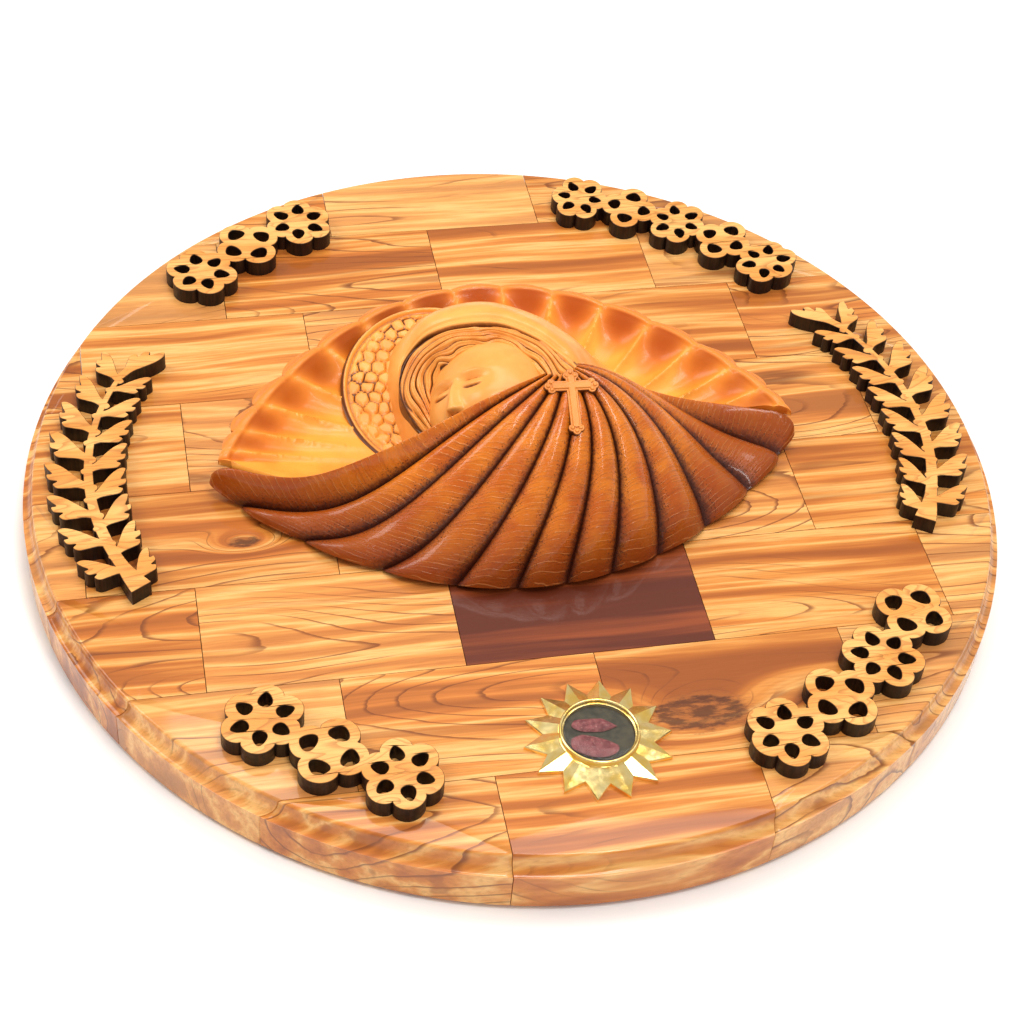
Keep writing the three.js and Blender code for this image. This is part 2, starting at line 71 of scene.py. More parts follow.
# ---- shell sizes, in millimetres ----
SHELL_HALF, SHELL_X = 80.0, -2.5
SEAM_Y = -1.9
DISH_DEPTH, VALVE_DEPTH = 58.0, 46.0
TIP_SHARPNESS = 1.84
RIM_HEIGHT, TIP_HEIGHT, DISH_FLOOR = 16.0, 11.0, 3.4
DISH_LOBES, LOBE_BULGE = 17, 3.2
VALVE_HEIGHT, MARGIN_HEIGHT = 39.4, 2.8
UMBO = np.array([8.9, -6.3])
SWIRL, RIBS, VALVE_WALL, FULLNESS = 0.47, 12, 4.6, 0.42
RIB_HEIGHT, RIB_SINK, RIB_SWELL = 4.7, 1.7, 0.04
LEFT_LIP_RISE, RIGHT_LIP_RISE = 9.5, 7.5
RIB_LENGTH = 9


# ---------------------------------------------------------------- shader maths
class Sock:
    """A socket, or a value that nodes work out. Its operators add Math nodes to the same material."""

    def __init__(self, shader, socket):
        self.shader = shader
        self.socket = socket

    def maths(self, operation, *values):
        sockets = dict(enumerate(values))
        return self.shader.node("Math", {"operation": operation}, sockets)

    def __add__(self, other):
        return self.maths("ADD", self, other)

    def __radd__(self, other):
        return self.maths("ADD", other, self)

    def __sub__(self, other):
        return self.maths("SUBTRACT", self, other)

    def __rsub__(self, other):
        return self.maths("SUBTRACT", other, self)

    def __mul__(self, other):
        return self.maths("MULTIPLY", self, other)

    def __rmul__(self, other):
        return self.maths("MULTIPLY", other, self)

    def __truediv__(self, other):
        return self.maths("DIVIDE", self, other)

    def __pow__(self, other):
        return self.maths("POWER", self, other)

    def fract(self):
        return self.maths("FRACT", self)

    def sine(self):
        return self.maths("SINE", self)

    def span(self, low, high, start=0.0, end=1.0):
        """Smoothly from start to end as the value goes from low to high."""
        sockets = {"Value": self, "From Min": low, "From Max": high, "To Min": start, "To Max": end}
        return self.shader.node("MapRange", {"interpolation_type": "SMOOTHSTEP"}, sockets)


class Shader:
    """A material and the nodes that make it."""

    def __init__(self, name):
        self.material = bpy.data.materials.new(name)
        self.material.use_nodes = True
        self.tree = self.material.node_tree
        self.tree.nodes.clear()
        self.out = self.tree.nodes.new("ShaderNodeOutputMaterial")

    def node(self, kind, settings=None, sockets=None, output=0):
        made = self.tree.nodes.new("ShaderNode" + kind)
        for name, value in (settings or {}).items():
            if name == "stops":
                self.fill_ramp(made.color_ramp, value)
            else:
                setattr(made, name, value)
        for name, value in (sockets or {}).items():
            if isinstance(value, Sock):
                self.tree.links.new(value.socket, made.inputs[name])
            else:
                made.inputs[name].default_value = value
        return Sock(self, made.outputs[output])

    @staticmethod
    def fill_ramp(ramp, stops):
        while len(ramp.elements) < len(stops):
            ramp.elements.new(0.5)
        for element, (place, shade) in zip(ramp.elements, stops):
            element.position = place
            element.color = shade

    def place(self):
        """Object coordinates in centimetres."""
        spot = self.node("TexCoord", output=3)
        return self.stretch(spot, (100, 100, 100))

    def stretch(self, vector, factors):
        return self.node("VectorMath", {"operation": "MULTIPLY"}, {0: vector, 1: factors})

    def shift(self, vector, by):
        return self.node("VectorMath", {"operation": "ADD"}, {0: vector, 1: by})

    def exponential(self, value):
        return self.node("Math", {"operation": "EXPONENT"}, {0: value})

    def parts(self, vector):
        apart = self.node("SeparateXYZ", sockets={0: vector}).socket.node
        return [Sock(self, output) for output in apart.outputs]

    def joined(self, x, y, z):
        return self.node("CombineXYZ", sockets={0: x, 1: y, 2: z})

    def attribute(self, name):
        return self.node("Attribute", {"attribute_name": name}, output=2)

    def noise(self, vector, scale, detail=2.0, roughness=0.5, distortion=0.0):
        sockets = {"Vector": vector, "Scale": scale, "Detail": detail, "Roughness": roughness}
        return self.node("TexNoise", sockets=sockets | {"Distortion": distortion})

    def mix(self, factor, first, second, blend="MIX"):
        settings = {"data_type": "RGBA", "blend_type": blend}
        return self.node("Mix", settings, {0: factor, 6: first, 7: second}, output=2)

    def ramp(self, factor, stops):
        return self.node("ValToRGB", {"stops": stops}, {0: factor})

    def bump(self, height, distance, strength=1.0):
        return self.node("Bump", sockets={"Height": height, "Distance": distance, "Strength": strength})

    def surface(self, **sockets):
        """Ends the material in one Principled shader; a name's underscores stand for spaces."""
        named = {name.replace("_", " "): value for name, value in sockets.items()}
        done = self.node("BsdfPrincipled", sockets=named)
        self.tree.links.new(done.socket, self.out.inputs["Surface"])
        return self.material


def colour(code):
    """A linear colour, with full alpha, from a six-digit sRGB code."""
    values = [int(code[i : i + 2], 16) / 255 for i in (0, 2, 4)]
    linear = [v / 12.92 if v <= 0.04045 else ((v + 0.055) / 1.055) ** 2.4 for v in values]
    return (*linear, 1.0)


LACQUER = (0.98, 0.76, 0.5)


def lacquered(code):
    """A wood colour as it shows through the amber lacquer."""
    return tuple(min(a * b, 0.97) for a, b in zip(colour(code), LACQUER)) + (1.0,)


WOOD_STOPS = (0.0, 0.18, 0.36, 0.54, 0.68, 0.84, 1.0)
WOOD_COLOURS = ("9f602d", "bd7a3b", "e0a55e", "f4d29a", "dfa159", "c98342", "a0622f")
WOOD_BANDS = [(stop, lacquered(code)) for stop, code in zip(WOOD_STOPS, WOOD_COLOURS)]


# ---------------------------------------------------------------- meshes
def mesh_piece(name, points, faces, material, replaces, attributes=None, uv=None, sharp=40,
               body="root"):
    """An object of the given points, in millimetres, and faces of equal length."""
    mesh = bpy.data.meshes.new(name)
    points = np.asarray(points, float).reshape(-1, 3) * MM
    mesh.from_pydata(points, [], faces.tolist() if hasattr(faces, "tolist") else faces)
    for label, values in (attributes or {}).items():
        layer = mesh.attributes.new(label, "FLOAT", "POINT")
        layer.data.foreach_set("value", np.ascontiguousarray(values, np.float32).ravel())
    if uv is not None:
        corners = np.empty(len(mesh.loops), np.int32)
        mesh.loops.foreach_get("vertex_index", corners)
        mesh.uv_layers.new(name="UVMap").data.foreach_set("uv", np.asarray(uv, np.float32)[corners].ravel())
    mesh.polygons.foreach_set("use_smooth", np.ones(len(mesh.polygons), bool))
    mesh.validate()
    mesh.set_sharp_from_angle(angle=math.radians(sharp))
    mesh.materials.append(material)
    piece = bpy.data.objects.new(name, mesh)
    bpy.context.scene.collection.objects.link(piece)
    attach(piece, body)
    if replaces:
        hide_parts(*replaces)
    return piece


def grid_faces(rows, columns, start=0, wrap=False):
    """Quads between the neighbouring points of a grid stored row by row; wrap closes each row."""
    index = start + np.arange(rows * columns).reshape(rows, columns)
    if wrap:
        index = np.hstack([index, index[:, :1]])
    a, b, c, d = index[:-1, :-1], index[:-1, 1:], index[1:, 1:], index[1:, :-1]
    return np.stack([a, b, c, d], -1).reshape(-1, 4)


def closed_rings(rings):
    """Rings of points, each a closed loop, joined in order and capped by a pole at each end."""
    rings = np.asarray(rings, float)
    count, around = rings.shape[:2]
    points = np.vstack([rings.reshape(-1, 3), rings[0].mean(0)[None], rings[-1].mean(0)[None]])
    sides = grid_faces(count, around, wrap=True).tolist()
    turn = np.arange(around)
    following = (turn + 1) % around
    low = np.stack([following, turn, np.full(around, count * around)], -1).tolist()
    last = (count - 1) * around
    high = np.stack([last + turn, last + following, np.full(around, count * around + 1)], -1).tolist()
    return points, sides + low + high


def two_sided(top, bottom, around=False):
    """A closed shell from two grids of the same shape, top facing up; around says that its rows wrap."""
    rows, columns = top.shape[:2]
    points = np.vstack([top.reshape(-1, 3), bottom.reshape(-1, 3)])
    size = rows * columns
    upper = grid_faces(rows, columns, wrap=around)
    lower = grid_faces(rows, columns, start=size, wrap=around)[:, ::-1]
    index = np.arange(size).reshape(rows, columns)
    if around:
        edges = [np.append(index[-1], index[-1][0]), np.append(index[0], index[0][0])[::-1]]
    else:
        edges = [np.concatenate([index[-1], index[::-1, -1][1:], index[0, ::-1][1:], index[:, 0][1:]])]
    walls = [np.stack([e[1:], e[:-1], e[:-1] + size, e[1:] + size], -1) for e in edges]
    return points, np.vstack([upper, lower] + walls)


def smooth_path(knots, count):
    """Points along a Catmull-Rom curve through the knots."""
    knots = np.asarray(knots, float)
    padded = np.vstack([2 * knots[0] - knots[1], knots, 2 * knots[-1] - knots[-2]])
    spot = np.linspace(0, len(knots) - 1, count)
    k = np.minimum(spot.astype(int), len(knots) - 2)
    t = (spot - k)[:, None]
    a, b, c, d = padded[k], padded[k + 1], padded[k + 2], padded[k + 3]
    return 0.5 * (2 * b + (c - a) * t + (2 * a - 5 * b + 4 * c - d) * t**2 + (3 * b - a - 3 * c + d) * t**3)


def ease(value, low, high):
    """0 below low, 1 above high, and a smooth step between."""
    t = np.clip((value - low) / (high - low), 0, 1)
    return t * t * (3 - 2 * t)


# ---------------------------------------------------------------- materials
KNOTS = ((2.9, -9.4, 0.62), (-7.8, -2.15, 0.2))
KNOT_STRETCH, UPRIGHT_STRETCH = 2.2, 0.45


def olive_wood():
    """Long colour bands along each stave, thin growth lines as contours of a smoother field, dark flames and
    fibre, under clear lacquer. Two knots, with dark streaky cores, bend every field round themselves.
    Upwards a field changes about half as fast as it does across the grain."""
    s = Shader("olive_wood")
    seed, tone, figure, red = [s.attribute(name) for name in ("seed", "tone", "figure", "red")]
    x, y, z = s.parts(s.place())
    knots, core = 0.0, 0.0
    for knot_x, knot_y, radius in KNOTS:
        distance = (((x - knot_x) / KNOT_STRETCH) ** 2 + (y - knot_y) ** 2) / radius**2
        knots = knots + s.exponential(distance * -0.35)
        core = core + s.exponential(distance * -1.5)
    offset = s.joined(seed * 31.0, seed * 57.0, seed * 13.0)

    def lie(along, across, more=0.0):
        stretched = s.joined(x * along, y * across + more, z * across * UPRIGHT_STRETCH)
        return s.shift(stretched, offset)

    sway = s.noise(lie(0.12, 0.2), 1.0, 1.0)
    wide = s.noise(lie(0.045, 1.15, sway * 0.9 + knots * 1.2), 1.0, 4.0, 0.55) + (figure - 0.5) * 0.03
    soft = s.noise(lie(0.07, 0.42, sway * 0.5 + knots * 0.9), 1.0, 0.6, 0.4)
    bands = wide.span(0.29, 0.71)
    base = s.ramp(bands, WOOD_BANDS)
    lines = (soft * 21.0 + wide * 1.1).fract()
    thin = lines.span(0.8, 0.96) * lines.span(1.0, 0.968)
    strength = (s.noise(lie(0.2, 0.7, 9.0), 1.0, 2.0) + figure * 0.12).span(0.38, 0.58)
    flame = s.noise(lie(0.09, 2.6, sway * 1.8 + 4.0), 1.0, 2.0, 0.5).span(0.6, 0.67)
    fine = s.noise(lie(1.3, 24.0), 1.0, 3.0, 0.6)
    base = s.mix((tone * -1.0).span(0.0, 1.0, 0.0, 0.55), base, (0.86, 0.79, 0.64, 1.0), "MULTIPLY")
    base = s.mix(tone.span(0.1, 1.0, 0.0, 0.35), base, lacquered("f3d29c"))
    base = s.mix(flame * (figure * 0.4 + 0.22), base, lacquered("9c5f2c"))
    base = s.mix(thin * strength * 0.85, base, lacquered("74421f"))
    base = s.mix(fine.span(0.4, 0.8, 0.0, 0.4), base, lacquered("a8682f"))
    base = s.mix(red, base, s.mix(wide.span(0.42, 0.6), lacquered("5c2a1a"), lacquered("96512f")))
    streaks = s.noise(s.joined(x * 2.5, y * 9.0, z), 1.0, 4.0, 0.7)
    dark = (knot_rings(s, x, y) * 0.3 + streaks * 1.5 + core * 0.25).span(0.75, 1.25)
    swirl = s.mix(dark, lacquered("a86c38"), lacquered("55301a"))
    base = s.mix((core + (streaks - 0.5) * 0.5).span(0.12, 0.4, 0.0, 0.9), base, swirl)
    rough = fine.span(0.2, 0.8, 0.34, 0.46)
    normal = s.bump(fine, 0.00005, 0.3)
    return s.surface(Base_Color=base, Roughness=rough, Normal=normal, Coat_Weight=0.55, Coat_Roughness=0.06,
                     Specular_IOR_Level=0.2)


def knot_rings(s, x, y):
    """Rings round the big knot, wavy and wider along the grain."""
    wave = s.noise(s.place(), 1.3, 2.0) * 2.0
    middle_x, middle_y, _ = KNOTS[0]
    far = (((x - middle_x) / KNOT_STRETCH) ** 2 + (y - middle_y) ** 2) ** 0.5
    return ((far * 16.0 + wave).sine() + 1.0) * 0.5


def burnt_ply():
    """Laser-cut olive: pale grained faces with scorched edges, and charred dark sides."""
    s = Shader("laser_cut_olive")
    spot = s.place()
    x, y, z = s.parts(spot)
    char = s.attribute("char")
    lie = s.joined(x * 0.3, y * 1.5, z)
    bands = (s.noise(lie, 0.9, 1.5, 0.5, 0.6) * 12.0).fract()
    fibre = s.noise(s.joined(x * 2.0, y * 26.0, z * 9.0), 1.0, 3.0, 0.6)
    base = s.mix(s.noise(lie, 1.1, 2.0).span(0.35, 0.65), lacquered("f6cf92"), lacquered("e5ab64"))
    base = s.mix(bands.span(0.55, 0.97, 0.0, 0.5) * bands.span(1.0, 0.97), base, lacquered("9c6432"))
    base = s.mix(fibre.span(0.4, 0.75, 0.0, 0.3), base, lacquered("c08347"))
    scorch = s.noise(s.stretch(spot, (14, 14, 1.5)), 1.0, 2.0).span(0.35, 0.7)
    base = s.mix(char.span(0.1, 0.9), base, s.mix(scorch, colour("120906"), colour("2c160b")))
    rough = s.noise(spot, 9.0, 2.0).span(0.3, 0.7, 0.42, 0.6)
    normal = s.bump(fibre, 0.00005, 0.4)
    return s.surface(Base_Color=base, Roughness=rough, Normal=normal, Coat_Weight=0.25, Coat_Roughness=0.25,
                     Specular_IOR_Level=0.2)


def ribbed_resin():
    """Caramel resin of the valve: light crests, painted shade in the grooves and lower down, fine pale growth
    lines across the ribs. u counts the ribs and v runs out along them."""
    s = Shader("ribbed_resin")
    groove, low = s.attribute("groove"), s.attribute("low")
    spot = s.place()
    u, v, _ = s.parts(s.node("TexCoord", output=2))
    wave = s.noise(s.joined(u * 1.1, v * 0.7, 0.0), 1.0, 3.0, 0.6)
    growth = (v * 4.6 + wave * 1.5 + (u * 6.2832).sine() * 0.12).fract()
    shown = s.noise(s.joined(u * 4.0, v * 1.7, 3.0), 1.0, 2.0).span(0.36, 0.54)
    line = growth.span(0.86, 0.96) * growth.span(1.0, 0.965) * shown
    fine = s.noise(s.joined(u * 0.8, (v + wave * 0.4) * 14.0, u * 0.3), 1.0, 2.0, 0.6)
    mottle = s.noise(spot, 9.0, 4.0, 0.65)
    base = s.mix(s.noise(spot, 1.1, 3.0).span(0.35, 0.7), colour("da781a"), colour("c05a0e"))
    # Painted shade: darker lower down the valve, towards the board.
    base = s.mix(low.span(0.0, 0.9, 0.0, 0.9), base, colour("8a380a"))
    base = s.mix(fine.span(0.5, 0.3) * 0.35, base, colour("8a3c0c"))
    base = s.mix(line * (v * -0.05 + 0.75), base, colour("f0a55c"))
    # Painted shade in the grooves, broken up by noise and a little stronger towards the umbo.
    wash = (groove + (mottle - 0.5) * 0.6 + v.span(3.0, 0.0, 0.0, 0.25)).span(0.35, 0.95)
    base = s.mix(wash * 0.95, base, colour("3f1206"))
    pits = s.noise(spot, 26.0, 2.0, 0.5).span(0.6, 0.7) * groove.span(0.12, 0.5)
    base = s.mix(pits * 0.75, base, colour("2c0d05"))
    height = fine * 0.6 + mottle * 0.6 - line * 0.5 - pits * 0.9
    rough = (mottle * 0.3 + groove * 0.3).span(0.1, 0.5, 0.16, 0.5)
    return s.surface(Base_Color=base, Roughness=rough, Normal=s.bump(height, 0.0003, 0.9), Coat_Weight=0.4,
                     Coat_Roughness=0.1, Specular_IOR_Level=0.25)


def dish_resin():
    """Honey resin inside the shell: bright floor, red-brown painted shade in the hollows under the rim lobes,
    pale rim edge.
    """
    s = Shader("dish_resin")
    hollow, edge = s.attribute("hollow"), s.attribute("edge")
    spot = s.place()
    cloud = s.noise(spot, 0.8, 3.0)
    base = s.mix(cloud.span(0.35, 0.7), colour("f6a43f"), colour("ec9332"))
    # Painted shade: red-brown in the hollows just under the rim lobes, darkest nearest the rim.
    base = s.mix((hollow + (cloud - 0.5) * 0.3).span(0.12, 0.6, 0.0, 0.8), base, colour("e07a22"))
    base = s.mix((hollow + (cloud - 0.5) * 0.3).span(0.5, 1.02, 0.0, 0.85), base, colour("a8440c"))
    base = s.mix(edge.span(0.3, 0.9, 0.0, 0.8), base, colour("e78a38"))
    speck = s.noise(spot, 30.0, 2.0).span(0.68, 0.75)
    base = s.mix(speck * 0.25, base, colour("7a3612"))
    rough = cloud.span(0.3, 0.7, 0.32, 0.46)
    normal = s.bump(s.noise(spot, 3.0, 3.0), 0.0003, 0.6)
    return s.surface(Base_Color=base, Roughness=rough, Normal=normal, Coat_Weight=0.18, Coat_Roughness=0.14,
                     Specular_IOR_Level=0.2)


def figure_resin(name, pale, deep, shade_colour):
    """Honey resin of the figure, between a pale and a deep colour, with dark painted shade in its recesses,
    at its edges and underneath, where the attribute says."""
    s = Shader(name)
    wash = s.attribute("wash")
    spot = s.place()
    cloud = s.noise(spot, 1.3, 3.0)
    mottle = s.noise(spot, 12.0, 3.0, 0.6)
    base = s.mix(cloud.span(0.35, 0.7), colour(pale), colour(deep))
    # The mask is painted shade, broken up by noise: a mid tone first, then the dark shade colour.
    shade_mask = (wash + (mottle - 0.5) * 0.3)
    base = s.mix(shade_mask.span(0.08, 0.5) * 0.4, base, colour("c8681f"))
    base = s.mix(shade_mask.span(0.3, 0.95) * 0.92, base, colour(shade_colour))
    rough = cloud.span(0.3, 0.7, 0.3, 0.42)
    return s.surface(Base_Color=base, Roughness=rough, Normal=s.bump(mottle, 0.0001, 0.4), Coat_Weight=0.25,
                     Coat_Roughness=0.18, Specular_IOR_Level=0.25)


def gilt():
    """Polished gilding with faint swirls and a little rub on its edges."""
    s = Shader("polished_gilt")
    spot = s.place()
    swirl = s.noise(spot, 2.2, 2.0)
    base = s.mix(swirl.span(0.35, 0.7), colour("ffe6a0"), colour("ffd36a"))
    rough = s.noise(spot, 6.0, 3.0).span(0.3, 0.8, 0.14, 0.28)
    normal = s.bump(s.noise(spot, 16.0, 2.0), 0.00004, 0.3)
    return s.surface(Base_Color=base, Metallic=0.88, Roughness=rough, Normal=normal)


def lens_glass():
    """Clear lens with a faint haze."""
    s = Shader("lens_glass")
    haze = s.noise(s.place(), 4.0, 2.0)
    return s.surface(Base_Color=colour("57504a"), Roughness=haze.span(0.3, 0.8, 0.03, 0.1),
                     Alpha=haze.span(0.3, 0.8, 0.1, 0.18), Coat_Weight=0.5, Coat_Roughness=0.03)


def case_card():
    """Dark green-brown card behind the stones."""
    s = Shader("case_card")
    spot = s.place()
    base = s.mix(s.noise(spot, 5.0, 4.0, 0.6).span(0.3, 0.7), colour("33342a"), colour("5a5440"))
    return s.surface(Base_Color=base, Roughness=s.noise(spot, 20.0, 3.0).span(0.3, 0.7, 0.6, 0.85))


def stone_chip():
    """Rough rose-red stone with pale veins."""
    s = Shader("stone_chip")
    spot = s.place()
    base = s.mix(s.noise(spot, 7.0, 4.0, 0.6).span(0.35, 0.65), colour("7e3038"), colour("b05f60"))
    base = s.mix(s.noise(spot, 18.0, 2.0, 0.5, 1.0).span(0.6, 0.72, 0.0, 0.6), base, colour("e0b8ae"))
    normal = s.bump(s.noise(spot, 15.0, 4.0, 0.7), 0.0004, 0.8)
    return s.surface(Base_Color=base, Roughness=s.noise(spot, 9.0).span(0.3, 0.7, 0.35, 0.6), Normal=normal)


def studio_floor():
    """Plain pale floor."""
    s = Shader("studio_floor")
    tone = s.noise(s.place(), 0.05, 1.0)
    base = s.mix(tone, (0.9, 0.9, 0.9, 1), (0.93, 0.925, 0.915, 1))
    return s.surface(Base_Color=base, Roughness=0.7)


# ---------------------------------------------------------------- board
FOOT_CHAMFER, COVE_WIDTH, COVE_DEPTH, SHOULDER = 1.2, 2.7, 4.5, 0.9


def board_profile():
    """Radius and height of the board's edge, from the underside to the deck: foot chamfer, upright side,
    a hollow quarter ellipse and a round shoulder."""
    turn = np.linspace(math.pi / 2, 0, 12)
    cove_top = DECK - SHOULDER
    cove = np.stack([BOARD_RADIUS - COVE_WIDTH * np.cos(turn), cove_top - COVE_DEPTH * np.sin(turn)], -1)
    turn = np.linspace(0, math.pi / 2, 7)[1:]
    edge = BOARD_RADIUS - COVE_WIDTH - SHOULDER
    shoulder = np.stack([edge + SHOULDER * np.cos(turn), cove_top + SHOULDER * np.sin(turn)], -1)
    side = [[BOARD_RADIUS - FOOT_CHAMFER, 0], [BOARD_RADIUS, FOOT_CHAMFER]]
    return np.vstack([side, cove, shoulder])


def side_ends(fixed, low, high, radius):
    """Where a straight side leaves the disc: the two ends along the side, and whether any of it is inside."""
    reach = math.sqrt(max(radius**2 - fixed**2, 0))
    first, last = max(low, -reach), min(high, reach)
    if first < last:
        return (fixed, first), (fixed, last)
    near = min(max(0.0, low), high)
    point = (math.copysign(math.sqrt(radius**2 - near**2), fixed), near)
    return point, point


def stave_loop(radius, x0, x1, y0, y1, straight=6, round_steps=36):
    """The outline of the rectangle where it lies inside a disc: counter-clockwise, evenly spaced points."""
    right = side_ends(x1, y0, y1, radius)
    left = side_ends(x0, y0, y1, radius)
    lower = [(b, a) for a, b in side_ends(y0, x0, x1, radius)]
    upper = [(b, a) for a, b in side_ends(y1, x0, x1, radius)]
    corners = [(lower, right[0]), (right, upper[1]), (upper[::-1], left[1]), (left[::-1], lower[0])]
    loop = []
    share = np.linspace(0, 1, straight, endpoint=False)[:, None]
    bend = np.linspace(0, 1, round_steps, endpoint=False)
    for (start, end), following in corners:
        start, end, following = np.array(start), np.array(end), np.array(following)
        loop.append(start + (end - start) * share)
        if np.hypot(*(following - end)) < 1e-6:
            loop.append(np.repeat(end[None], round_steps, 0))
            continue
        first = math.atan2(end[1], end[0])
        sweep = (math.atan2(following[1], following[0]) - first) % TAU
        angle = first + sweep * bend
        loop.append(radius * np.stack([np.cos(angle), np.sin(angle)], -1))
    return np.vstack(loop)


def tones(name):
    """Seed, tone, figure and red of a stave, spread evenly by its row and place; a few are chosen one by one.
    """
    row, place = [int(part) for part in name.split("_")[1:]]
    seed = (row * 0.618 + place * 0.414) % 1.0
    tone = math.sin(row * 2.3 + place * 4.1)
    figure = math.cos(row * 3.7 + place * 2.9)
    chosen = {"stave_3_3": (seed, -1.0, -0.6, 1.0), "stave_3_2": (seed, 0.5, 0.2, 0.0)}
    return chosen.get(name, (seed, tone, figure, max(0.0, 0.1 * math.sin(row + place * 1.7))))


def build_board(material):
    """Each stave is a stack of outlines, one for every point of the edge profile, that follow the disc where
    they reach it."""
    for name in sorted(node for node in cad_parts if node.startswith("stave")):
        low, high = [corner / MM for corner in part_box(name)]
        rings = []
        for radius, height in board_profile():
            loop = stave_loop(radius, low.x, high.x, low.y, high.y)
            rings.append(np.column_stack([loop, np.full(len(loop), height)]))
        points, faces = closed_rings(rings)
        flat = np.ones(len(points))
        values = dict(zip(("seed", "tone", "figure", "red"), [value * flat for value in tones(name)]))
        piece = mesh_piece("wood_" + name, points, faces, material, [name], values, sharp=35)
        merge_doubles(piece)


def merge_doubles(piece, distance=1e-6):
    """Joins points that lie within a distance, in metres, and turns every face outward."""
    work = bmesh.new()
    work.from_mesh(piece.data)
    bmesh.ops.remove_doubles(work, verts=work.verts, dist=distance)
    bmesh.ops.recalc_face_normals(work, faces=work.faces)
    work.to_mesh(piece.data)
    work.free()


# ---------------------------------------------------------------- laser-cut trims
CUT_THICKNESS, CUT_BEVEL = 5.0, 0.22
BAND_RADIUS = BOARD_RADIUS - 18.3
MOTIF_HEIGHT, MOTIF_OVERLAP = 22.0, 0.8
BANDS = {
    "ornament_top_left": (3, 18.8, 123.7),
    "ornament_top_right": (5, 16.0, 53.7),
    "ornament_lower_left": (3, 18.8, 236.2),
    "ornament_lower_right": (4, 18.8, 307.7),
}
BRANCH_RADIUS, BRANCH_INSET, BRANCH_TURNS = 79.0, 18.2, (211.0, 147.0)
BRANCHES = {"branch_left": (1, 2.0), "branch_right": (-1, 0.0)}
LEAF_PAIRS, LEAF_LENGTH, LEAF_BEND, STEM_WIDTH = 8, 13.6, 0.22, 4.4
LEAF_OUTLINE = [
    (-0.12, 0.07), (0.2, 0.1), (0.45, 0.16), (0.7, 0.19), (0.92, 0.15), (1.03, 0.05), (0.92, 0.0),
    (0.79, -0.03), (0.87, -0.1), (0.78, -0.16), (0.62, -0.11), (0.66, -0.2), (0.54, -0.23), (0.36, -0.15),
    (0.16, -0.07), (-0.12, -0.06),
]
LAYER_STEP = 0.004


def closed_curve(knots, steps):
    """Points along a closed Catmull-Rom curve through the knots."""
    knots = np.asarray(knots, float)
    t = np.linspace(0, 1, steps, endpoint=False)[None, :, None]
    a, b, c, d = [np.roll(knots, shift, 0)[:, None] for shift in (1, 0, -1, -2)]
    curve = 0.5 * (2 * b + (c - a) * t + (2 * a - 5 * b + 4 * c - d) * t**2 + (3 * b - a - 3 * c + d) * t**3)
    return curve.reshape(-1, 2)


def inset(loop, distance):
    """The loop moved to its left by a distance, along the mean of its neighbouring edges' normals."""
    along = np.roll(loop, -1, 0) - np.roll(loop, 1, 0)
    along /= np.maximum(np.hypot(along[:, 0], along[:, 1]), 1e-9)[:, None]
    return loop + distance * np.stack([-along[:, 1], along[:, 0]], -1)


def cut_shape(loops, low, high):
    """A plate cut along loops, the first one round its outside and the others round its holes: dark walls, a
    small bevel and flat faces. Returns points, faces and how dark each point's wall is: charred on the ply,
    painted shade on the cross."""
    loops = [loop if (signed_area(loop) > 0) == (i == 0) else loop[::-1] for i, loop in enumerate(loops)]
    points, faces, char, size = [], [], [], sum(len(loop) for loop in loops)
    levels = [(0, low, 1.0), (0, high - CUT_BEVEL, 1.0), (CUT_BEVEL, high, 0.0)]
    for distance, height, burnt in levels:
        for loop in loops:
            ring = inset(loop, distance)
            points.append(np.column_stack([ring, np.full(len(ring), height)]))
            char.append(np.full(len(ring), burnt))
    start = 0
    for loop in loops:
        count = len(loop)
        for level in (0, 1):
            turn = np.arange(count)
            a = level * size + start + turn
            b = level * size + start + (turn + 1) % count
            faces += np.stack([a, b, b + size, a + size], -1).tolist()
        start += count
    flat = [[Vector((*point, 0)) for point in loop] for loop in loops]
    for a, b, c in tessellate_polygon(flat):
        faces += [[2 * size + a, 2 * size + b, 2 * size + c], [a, c, b]]
    return np.vstack(points), faces, np.concatenate(char)


def signed_area(loop):
    """Positive for a counter-clockwise loop."""
    following = np.roll(loop, -1, 0)
    return 0.5 * np.sum(loop[:, 0] * following[:, 1] - loop[:, 1] * following[:, 0])


def turned(loop, angle, shift=(0, 0)):
    """Plan points turned about the origin, then shifted."""
    rotation = np.array([[math.cos(angle), -math.sin(angle)], [math.sin(angle), math.cos(angle)]])
    return loop @ rotation.T + np.asarray(shift)


def drop_hole(distance, angle, length, width):
    """A drop-shaped hole that points outwards, its middle at a distance from the motif's own middle."""
    turn = np.linspace(0, TAU, 28, endpoint=False)
    along = distance + length / 2 * np.cos(turn)
    across = width / 2 * np.sin(turn) * (1 - 0.35 * np.cos(turn))
    return turned(np.stack([along, across], -1), angle)


def foil(width, height, lobes, notch, start):
    """Loops of a foil: the outline steps in by notch between round lobes, each with a drop-shaped hole."""
    angle = np.linspace(0, TAU, lobes * 22, endpoint=False)
    swell = np.abs(np.cos(lobes * (angle - start) / 2)) ** 0.7
    reach = 1 - notch * (1 - swell)
    loops = [np.stack([width / 2 * reach * np.cos(angle), height / 2 * reach * np.sin(angle)], -1)]
    for lobe_angle in start + TAU * np.arange(lobes) / lobes:
        far = math.hypot(width / 2 * math.cos(lobe_angle), height / 2 * math.sin(lobe_angle))
        loops.append(drop_hole(far * 0.56, lobe_angle, far * 0.42, width / lobes))
    return loops


